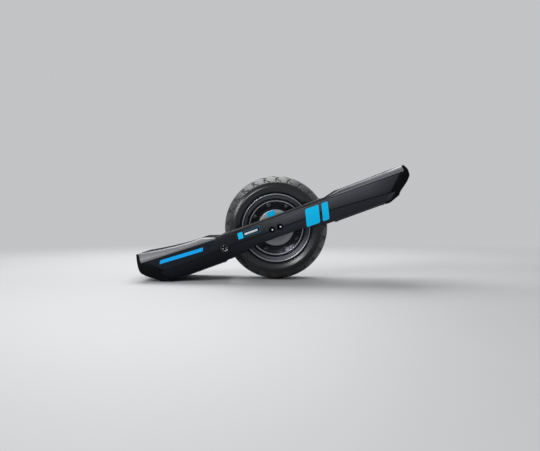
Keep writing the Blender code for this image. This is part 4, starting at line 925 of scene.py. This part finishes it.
def makeRail(name, outward):
    stations, reach = 92, rail["endTop"] + 0.005
    count = len(railRing(0))

    def place(u, v):
        x = (2 * u - 1) * reach
        y, z = railRing(x)[round(v * count) % count]
        return (x, outward * y, z)

    body = moulded(name, stations, count, place)
    editing(body)
    bpy.ops.mesh.remove_doubles(threshold=merge)
    bpy.ops.mesh.select_all(action="DESELECT")
    bpy.ops.mesh.select_non_manifold()
    bpy.ops.mesh.edge_face_add()
    doneEditing()
    tidied(body)
    for end, along in ends:
        line = jointLine(along)
        (x0, z0), (x1, z1) = line[:2]
        top = (x0 + 0.4 * (x0 - x1), z0 + 0.4 * (z0 - z1))
        low = board["railBottom"] - 0.005
        outline = [top] + line + [(rail["endBottom"], low), (0.41, low), (0.41, top[1])]
        span = sorted((outward * 0.100, outward * 0.122))
        cutAway(body, drawn("jointCut", [(along * x, z) for x, z in outline], *span))
    return body


port = (rail["portPlace"], rail["portHeight"])
for side, outward in sides:
    body = makeRail("rail" + side.title(), outward)
    far = outward * 0.125
    tools = []
    for x in (-rail["boltPlace"], rail["boltPlace"]):
        tools.append(peg("recess", (x, 0), outward * 0.112, far, rail["recess"], 40))
        tools.append(peg("hole", (x, 0), outward * 0.105, outward * 0.114, 0.0043, 24))
    radius = 0.0108 if side == "left" else 0.013
    tools.append(peg("opening", port, outward * 0.10, far, radius, 48))
    cutAway(body, *tools)
    eased(body, 0.0005, 2, 42)
    settled(body, "rail", "rail_charcoal", "rail_" + side, angle=28)
print("rails made")


# Axle bolts

head = mm(
    (0, 96), (3.8, 96), (4, 96.2), (4, 112.3), (6.8, 112.3), (6.8, 116), (6.6, 116.5),
    (6.1, 116.8), (4.6, 116.8), (4.2, 116.4), (0, 116.4),
)
for side, outward in sides:
    for end, along in ends:
        bolt = spun(f"axleBolt_{side}_{end}", head, 40, outward)
        cutAway(bolt, peg("hex", (0, 0), outward * 0.1146, outward * 0.12, 0.0036, 6))
        place = boardPlace @ Matrix.Translation((along * rail["boltPlace"], 0, 0))
        settled(bolt, "axleBolt", "bolt_black", f"axle_bolt_{side}_{end}", place=place)
print("axle bolts made")


def makePortAndButton():
    spot = boardPlace @ Matrix.Translation((rail["portPlace"], 0, rail["portHeight"]))
    cup = mm(
        (0, 104.5), (12.7, 104.5), (12.7, 116.6), (12.4, 117.1), (11.9, 117.2), (11.2, 116.8),
        (10.6, 116), (10.5, 115), (10.5, 110.5), (10.3, 109.2), (9.8, 108.2), (9, 107.7),
        (8, 107.5), (0, 107.5),
    )
    socket = spun("chargeSocket", cup, 64, -1)
    key = slab("key", (-0.0012, -0.1150, -0.0106), (0.0012, -0.1070, -0.0092))
    joined(socket, eased(key, 0.0003))
    settled(socket, "socket", "trim_black", "charge_socket", place=spot)
    pins = []
    for i in range(3):
        away = around(0.005, math.pi / 2 + math.tau * i / 3)
        pins.append(eased(peg("pin", away, -0.1070, -0.1120, 0.0013, 20), 0.0005, 3))
    pins = joined(*pins)
    pins.name = "chargePins"
    settled(pins, "steel", "steel", place=spot)
    bezel = mm(
        (0, 104.3), (10.5, 104.3), (10.5, 116.3), (10.3, 116.7), (9.9, 116.8), (8.6, 116.7),
        (8, 116.3), (7.8, 115.6), (7.8, 109), (0, 109),
    )
    ring = spun("buttonBezel", bezel, 64)
    settled(ring, "port", "trim_black", "button_bezel", place=spot)
    face = mm(
        (0, 110.7), (7.5, 110.7), (7.5, 115.8), (7.3, 116.2), (6.9, 116.4), (5.2, 116.4),
        (4.8, 116.2), (4.4, 115.7), (4, 115.6), (0, 115.8),
    )
    button = spun("powerButton", face, 64)
    settled(button, "steel", "steel", "power_button", body="power_button", place=spot)
    print("socket and button made")


makePortAndButton()


# Bumpers with their light bars

bumper = {
    "padEnd": 0.372,
    "skidEnd": 0.338,
    "lensTop": 0.022,
    "lensLow": 0.013,
    "lensHalf": 0.080,
    "lip": {"front": 0.0425, "rear": 0.0615},
    "rounding": 0.0030,
    "screwPlace": 0.082,
    "lamps": 16,
}


def floorUnder(x):
    return (x * math.sin(lean) - board["tyreRadius"]) / math.cos(lean)


def bumperOutline(along, lipTop):
    lipX = bumper["padEnd"] + board["gap"] + 0.004
    tip, low = board["halfLength"], bumper["lensLow"]
    skid = floorUnder(bumper["skidEnd"])
    nose = [
        ((lipX + tip) / 2 + 0.001, (lipTop + 0.026) / 2), (tip, 0.026),
        (tip - 0.001, low - 0.001), (tip - 0.007, low - 0.009), (tip - 0.014, low - 0.016),
        (tip - 0.0245, low - 0.024), (bumper["skidEnd"] + 0.0085, skid + 0.0095),
        (bumper["skidEnd"], skid),
    ]
    joint = jointLine(along, board["gap"])
    seat = bumper["padEnd"] + board["gap"]
    start = [(seat, joint[0][1]), (seat, lipTop), (lipX, lipTop)]
    flatPart = [(board["skidStart"], board["underside"]), (joint[-1][0], board["underside"])]
    return start + curveThrough(nose, 3) + flatPart + joint[::-1]


def makeBumper(end, along):
    outline = bumperOutline(along, bumper["lip"][end])
    outline = [(along * x, z) for x, z in outline]
    outer = board["railOuter"]
    body = drawn(end + "Bumper", outline, -outer, outer)
    plain = outline[-6:] + outline[:2]  # the edges on the joint stay sharp
    plain = [((a[0] + b[0]) / 2, (a[1] + b[1]) / 2) for a, b in zip(plain, plain[1:])]
    weights = body.data.attributes.new("bevel_weight_edge", "FLOAT", "EDGE")
    for edge in body.data.edges:
        a, b = (body.data.vertices[i].co for i in edge.vertices)
        middle = (a + b) / 2
        away = min(math.dist((middle.x, middle.z), spot) for spot in plain)
        if abs(abs(middle.y) - outer) < 0.0001 and away > board["gap"]:
            weights.data[edge.index].value = 1.0
    applied(body, "BEVEL", width=bumper["rounding"], segments=5, limit_method="WEIGHT")
    low, high, half, room = bumper["lensLow"], bumper["lensTop"], bumper["lensHalf"], 0.0003
    tools = [slab(
        "slot", (along * 0.3535, -half - room, low - room), (along * 0.40, half + room, high + room)
    )]
    x, under = (board["skidStart"] + rail["endBottom"]) / 2, board["underside"]
    for y in (-bumper["screwPlace"], bumper["screwPlace"]):
        sink = post("sink", (along * x, y, under - 0.002), (along * x, y, under + 0.0032), 0.0048)
        tools.append(sink)
    cutAway(body, *tools)
    eased(body, 0.0005, 2, 50)
    settled(body, "bumper", "bumper_black", end + "_bumper")

    face = board["halfLength"] - 0.0012
    lens = [(face - 0.007, low), (face - 0.0005, low), (face, low + 0.002), (face, high - 0.001),
            (face - 0.001, high), (face - 0.007, high)]
    lens = drawn(end + "Lens", [(along * x, z) for x, z in lens], -half, half)
    eased(lens, 0.0006, 3)
    settled(lens, "lens", "lens", end + "_light_lens")
    back = face - 0.0073
    plate = slab("lightBoard", (along * (back - 0.0016), -half, low), (along * back, half, high))
    plate.name = end + "LightBoard"
    settled(plate, "circuit", "board_green", end + "_light_board")
    lamps = []
    for i in range(bumper["lamps"]):
        y = half * 0.93 * (2 * i / (bumper["lamps"] - 1) - 1)
        low = (along * (back - 0.0002), y - 0.0025, 0.0152)
        lamps.append(slab("lamp", low, (along * (back + 0.0002), y + 0.0025, 0.0198)))
    lamps = joined(*lamps)
    lamps.name = end + "Lamps"
    settled(lamps, "lamp", "lens")

    turn = Matrix.Rotation(-math.pi / 2, 4, "X")
    for side, outward in sides:
        head = mm(
            (0, 1.5), (2, 1.5), (2, 0.3), (3.9, 0.3), (4.5, 0.9), (4.5, 2.6), (2, 2.6), (2, 7.9),
            (0, 7.9),
        )
        head = [(r, -under - deep) for r, deep in head]
        screw = spun(f"bumperScrew_{end}_{side}", head, 24)
        spot = Matrix.Translation((along * x, outward * bumper["screwPlace"], 0))
        replaced = f"{end}_bumper_screw_{side}"
        settled(screw, "bolt", "bolt_black", replaced, place=boardPlace @ spot @ turn)


for end, along in ends:
    makeBumper(end, along)
print("bumpers made")


# Footpads

pad = {
    "start": 0.161,
    "end": 0.372,
    "halfWidth": 0.1172,
    "ramp": 0.034,
    "base": 0.0046,
    "rise": {"front": 0.0128, "rear": 0.0160},
    "concave": 0.006,
    "rollWidth": 0.0135,
    "roll": 0.6,
    "grip": 0.0028,
    "film": {"front": 0.0012, "rear": 0.0003},  # room between grip and core, for the sensor
    "steps": 64,
}


def padTop(x, y, rise, kick):
    crest = pad["halfWidth"] - pad["rollWidth"]
    ramp = between((x - pad["start"]) / pad["ramp"], 0, 1)
    reach = (x - pad["start"]) / (pad["end"] - pad["start"])
    lift = max((reach - 0.3) / 0.7, 0.0) ** 1.5
    height = pad["base"] + (rise - pad["base"]) * ramp + kick * lift
    edge = blended(0.5, 1.0, abs(y) / crest)
    taper = min((pad["end"] - x) / (pad["end"] - pad["start"]) * 2, 1.0)
    past = max((abs(y) - crest) / pad["rollWidth"], 0.0)
    roll = pad["roll"] * (height - pad["base"]) * past**2
    hollow = pad["concave"] * (1 - edge) * ramp * taper
    return board["railTop"] + board["gap"] + height - hollow - roll


def closedPad(name, top, under):  # two grids of points joined round their edges
    upper = moulded(name, pad["steps"], pad["steps"], top)
    lower = moulded(name + "Under", pad["steps"], pad["steps"], under)
    body = joined(upper, lower)
    editing(body, "EDGE")
    bpy.ops.mesh.select_all(action="DESELECT")
    bpy.ops.mesh.select_non_manifold()
    bpy.ops.mesh.bridge_edge_loops()
    doneEditing()
    return tidied(body)


def makeFootpad(end, along):
    start, length, half = pad["start"], pad["end"] - pad["start"], pad["halfWidth"]
    rise = pad["rise"][end]
    kick = bumper["lip"][end] - board["railTop"] - board["gap"] - rise

    def layer(depth, inset, ease):
        def place(u, v):
            x = start + inset + (length - 2 * inset) * u
            y = (half - 0.1 * inset) * math.sin((v - 0.5) * math.pi)
            away = half - abs(y)
            drop = ease - math.sqrt(max(ease**2 - max(ease - away, 0) ** 2, 0))
            lowest = railTop(along * x) + board["gap"] + 0.0008
            return (along * x, y, max(padTop(x, y, rise, kick) - depth - drop, lowest))

        return place

    def seat(u, v):
        x = start + length * u
        return (along * x, half * math.sin((v - 0.5) * math.pi), railTop(along * x) + board["gap"])

    grip = closedPad(end + "Grip", layer(0, 0.001, 0.0014), layer(pad["grip"], 0.001, 0))
    settled(grip, "grip", "grip_black", end + "_grip", angle=40)
    depth = pad["grip"] + pad["film"][end]
    core = closedPad(end + "Footpad", layer(depth, 0, 0.0006), seat)
    settled(core, "core", "pad_core", end + "_footpad", angle=40)


for end, along in ends:
    makeFootpad(end, along)
print("footpads made")


# Trim beside the wheel

low = board["railTop"] + board["gap"]
outline = [(-0.1606, low), (0.1603, low), (0.1603, low + 0.003), (0.146, low + 0.0068),
           (-0.150, low + 0.0068), (-0.1606, low + 0.0050)]
inner = board["railInner"] + 0.0005
for side, outward in sides:
    span = sorted((outward * inner, outward * (inner + 0.010)))
    strip = drawn("trimStrip_" + side, outline, *span)
    eased(strip, 0.0016, 4)
    settled(strip, "trim", "trim_black", "trim_strip_" + side)
print("trim made")


# Boxes under the pads, and the cables

floorRibs = {"start": 0.163, "end": 0.290, "count": 7, "apart": 0.026, "low": -0.0402}


def makeBox(name, title, along):
    box = added(title, nodes[name].data.copy())
    box.data.name = title
    box.matrix_basis = nodes[name].matrix_basis
    tidied(box)
    placed(box, boardPlace.inverted())
    editing(box)
    bpy.ops.mesh.dissolve_limited(angle_limit=math.radians(1))
    doneEditing()
    eased(box, 0.0012, 3)
    extras = []
    start, end, low = floorRibs["start"], floorRibs["end"], floorRibs["low"]
    for i in range(floorRibs["count"]):
        y = (i - (floorRibs["count"] - 1) / 2) * floorRibs["apart"]
        rib = slab("rib", (along * start, y - 0.0012, low), (along * end, y + 0.0012, low + 0.001))
        extras.append(eased(rib, 0.0004))
    for x in (along * (start - 0.002), along * (end + 0.002)):
        for y in (-0.094, 0.094):
            screw = post("screw", (x, y, low), (x, y, -0.0380), 0.0028, 20)
            cutAway(screw, post("hex", (x, y, -0.0410), (x, y, -0.0394), 0.0013, 6))
            extras.append(screw)
    joined(box, *extras)
    settled(box, "box", "box_black", name)


makeBox("battery_box", "batteryBox", -1)
makeBox("controller_box", "controllerBox", 1)
print("boxes made")


def tube(name, points, radius):
    data = bpy.data.curves.new(name, "CURVE")
    data.dimensions = "3D"
    data.bevel_depth = radius
    data.bevel_resolution = 5
    data.use_fill_caps = True
    line = data.splines.new("POLY")
    points = curveThrough(points, 8)
    line.points.add(len(points) - 1)
    for point, spot in zip(line.points, points):
        point.co = (*spot, 1)
    choose(added(name, data))
    bpy.ops.object.convert(target="MESH")
    return tidied(bpy.context.object)


def makeCable(name, node, points, radius):
    line = tube(name, points, radius)
    glands = []
    for (x, y, z), way in ((points[0], 1), (points[-1], -1)):
        neck = (x + way * 0.008, y, z)
        gland = post("gland", (x, y, z), neck, radius + 0.0018, 6)
        collar = post("collar", neck, (x + way * 0.013, y, z), radius + 0.0010, 24)
        glands += [eased(gland, 0.0006), eased(collar, 0.0006)]
    joined(line, *glands)
    settled(line, "cable", "cable_black", node, angle=40)


def makeCables():
    wall = board["boxStart"] - board["gap"]
    y = 0.097
    power = [(-wall, -y, -0.008), (-wall + 0.015, -y, -0.008), (-0.085, -y, -0.018),
             (-0.040, -y, -0.021), (0.040, -y, -0.021), (0.085, -y, -0.018),
             (wall - 0.015, -y, -0.008), (wall, -y, -0.008)]
    motor = [(0.0303, y, 0.0), (0.045, y, 0.0), (0.060, y, -0.001), (0.095, y, -0.003),
             (wall - 0.015, y, -0.003), (wall, y, -0.003)]
    makeCable("batteryCable", "battery_cable", power, 0.0035)
    makeCable("motorCable", "motor_cable", motor, 0.0045)
    print("cables made")


makeCables()


# Plain coloured graphics on the right rail


def decal(name, outline, look, lift=0.0002):  # laid on the near rail's slanted faces
    obj = flat(name, outline)
    low, high = min(x for x, z in outline), max(x for x, z in outline)
    cuts = []
    for k in (-1, 1):
        a = Vector((low, 0, creaseHeight(low) + k * rail["groove"]))
        b = Vector((high, 0, creaseHeight(high) + k * rail["groove"]))
        slope = (b - a).normalized()
        cuts.append((a, (-slope.z, 0, slope.x)))
    cuts += [((low + (high - low) * i / 12, 0, 0), (1, 0, 0)) for i in range(1, 12)]
    for spot, normal in cuts:
        editing(obj)
        bpy.ops.mesh.bisect(plane_co=spot, plane_no=normal)
        doneEditing()
    for vertex in obj.data.vertices:
        vertex.co.y = -railFace(vertex.co.x, vertex.co.z) - lift
    settled(thickened(obj, 0.0003), look, "rail_charcoal")


def slanted(x0, x1, z0, z1, slant, radius, climb=0.0):  # in mm; climb is its slope along X
    shift = slant * (z1 - z0)
    corners = [(x0, z0), (x1, z0), (x1 + shift, z1), (x0 + shift, z1)]
    return mm(*rounded([(x, z + climb * (x - x0)) for x, z in corners], radius))


def makeGraphics():
    panel = mm((-316.5, -3.6), (-196, -2.6), (-167.5, 25.3), (-355.5, 32.2))
    decal("tailPanel", panel, "vinyl", 0.0001)
    decal("noseBlockWide", slanted(78, 116, -26, 21, 0.25, 4), "cyan")
    decal("noseBlockSlim", slanted(124, 142, -26, 21, 0.25, 4), "cyan")
    decal("tailStripe", slanted(-325.5, -205.5, 15.8, 25.2, 0.5, 2, -0.055), "blue", 0.0003)
    decal("midBlock", slanted(-104, -90.5, 5.2, 22.2, 0.1, 1.5), "cyan")
    decal("midFrame", slanted(-90, -41.5, 5.8, 21.3, 0.1, 1.8), "frameInk")
    decal("midPlate", slanted(-88.7, -42.8, 7.1, 20, 0.1, 1.2), "vinyl", 0.0004)
    decal("midBar", slanted(-85, -48, 10.8, 16.2, 0.1, 1), "white", 0.0006)
    print("graphics made")


makeGraphics()


# Better finishes on the CAD solids that stay

kept = {
    "steel": ["rotor_ring", "stator_core", "axle"],
    "copper": ["stator_windings"],
    "aluminium": ["axle_block_left", "axle_block_right", "heat_sink"],
    "circuit": ["footpad_sensor", "battery_board", "controller_board"],
    "cells": ["battery_pack"],
}
for side, outward in sides:
    kept["steel"] += [f"bearing_{side}_outer_race", f"bearing_{side}_inner_race"]
for look, names in kept.items():
    for name in names:
        for slot in nodes[name].material_slots:
            slot.material = finishes[look]


# Floor, lights and camera

studio = {
    "backdrop": (0.965, 0.98, 1.0, 1),
    "level": 0.56,  # how bright the backdrop looks
    "fill": 0.25,  # how much light it gives
    "fadeStart": 0.7,
    "fadeEnd": 2.4,
    "lampsAim": (0, 0, 0.15),
    "cameraSpot": (0.010, -2.2, 0.20),
    "cameraAim": (-0.0075, 0, 0.1479),
}


def seenBy(tree):  # 1 for what the camera sees, also in metal and through glass
    path = tree.nodes.new("ShaderNodeLightPath").outputs
    camera, glossy, through = [
        Wire(tree, path[f"Is {kind} Ray"]) for kind in ("Camera", "Glossy", "Transmission")
    ]
    return (camera + glossy).maths("ADD", through, clamp=True)


def makeFloor():
    material, shader, spot = freshLook("studioFloor")
    tree = spot.tree
    tone = spot.noise(2.2, 3)
    spot.feed(shader.inputs["Base Color"], tone.paint((0.575, 0.58, 0.59), (0.615, 0.62, 0.63)))
    spot.feed(shader.inputs["Roughness"], 0.5 + tone * 0.1)
    light = {"Color": studio["backdrop"], "Strength": studio["level"]}
    glow = spot.make("Emission", {}, light)
    x, y, z = spot.parts()
    away = distance(x, y).step(studio["fadeStart"], studio["fadeEnd"])
    share = away * away * (3 - 2 * away) * seenBy(tree)
    blend = spot.make("MixShader", {}, {0: share, 1: Wire(tree, shader.outputs[0]), 2: glow})
    tree.links.new(blend.socket, tree.nodes["Material Output"].inputs["Surface"])
    return material


def aimed(name, data, spot, target):
    obj = added(name, data)
    obj.location = spot
    obj.rotation_euler = (Vector(target) - Vector(spot)).to_track_quat("-Z", "Y").to_euler()
    return obj


def makeStudio():
    bpy.ops.mesh.primitive_plane_add(size=30)
    floor = named("studioFloor")
    floor.data.materials.append(makeFloor())
    floor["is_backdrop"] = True
    world = bpy.data.worlds.new("studio")
    bpy.context.scene.world = world
    world.use_nodes = True
    sky = world.node_tree.nodes["Background"].inputs
    sky["Color"].default_value = studio["backdrop"]
    strength = studio["fill"] + seenBy(world.node_tree) * (studio["level"] - studio["fill"])
    strength.feed(sky["Strength"], strength)
    lamps = (
        ("overhead", (-0.35, 1.35, 1.75), (1.8, 1.4), 42),
        ("key", (-0.88, -2.36, 1.36), (0.55, 0.55), 24),
        ("side", (-1.78, -1.50, 1.08), (0.4, 0.8), 15),
    )
    for name, spot, size, power in lamps:
        light = bpy.data.lights.new(name, "AREA")
        light.shape = "RECTANGLE"
        light.size, light.size_y = size
        light.energy = power
        aimed(name, light, spot, studio["lampsAim"])
    lens = bpy.data.cameras.new("camera")
    lens.lens = 52.07
    lens.sensor_width = 36
    scene = bpy.context.scene
    scene.camera = aimed("camera", lens, studio["cameraSpot"], studio["cameraAim"])
    scene.view_settings.view_transform = "Standard"
    print("studio made")


makeStudio()

low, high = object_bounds()
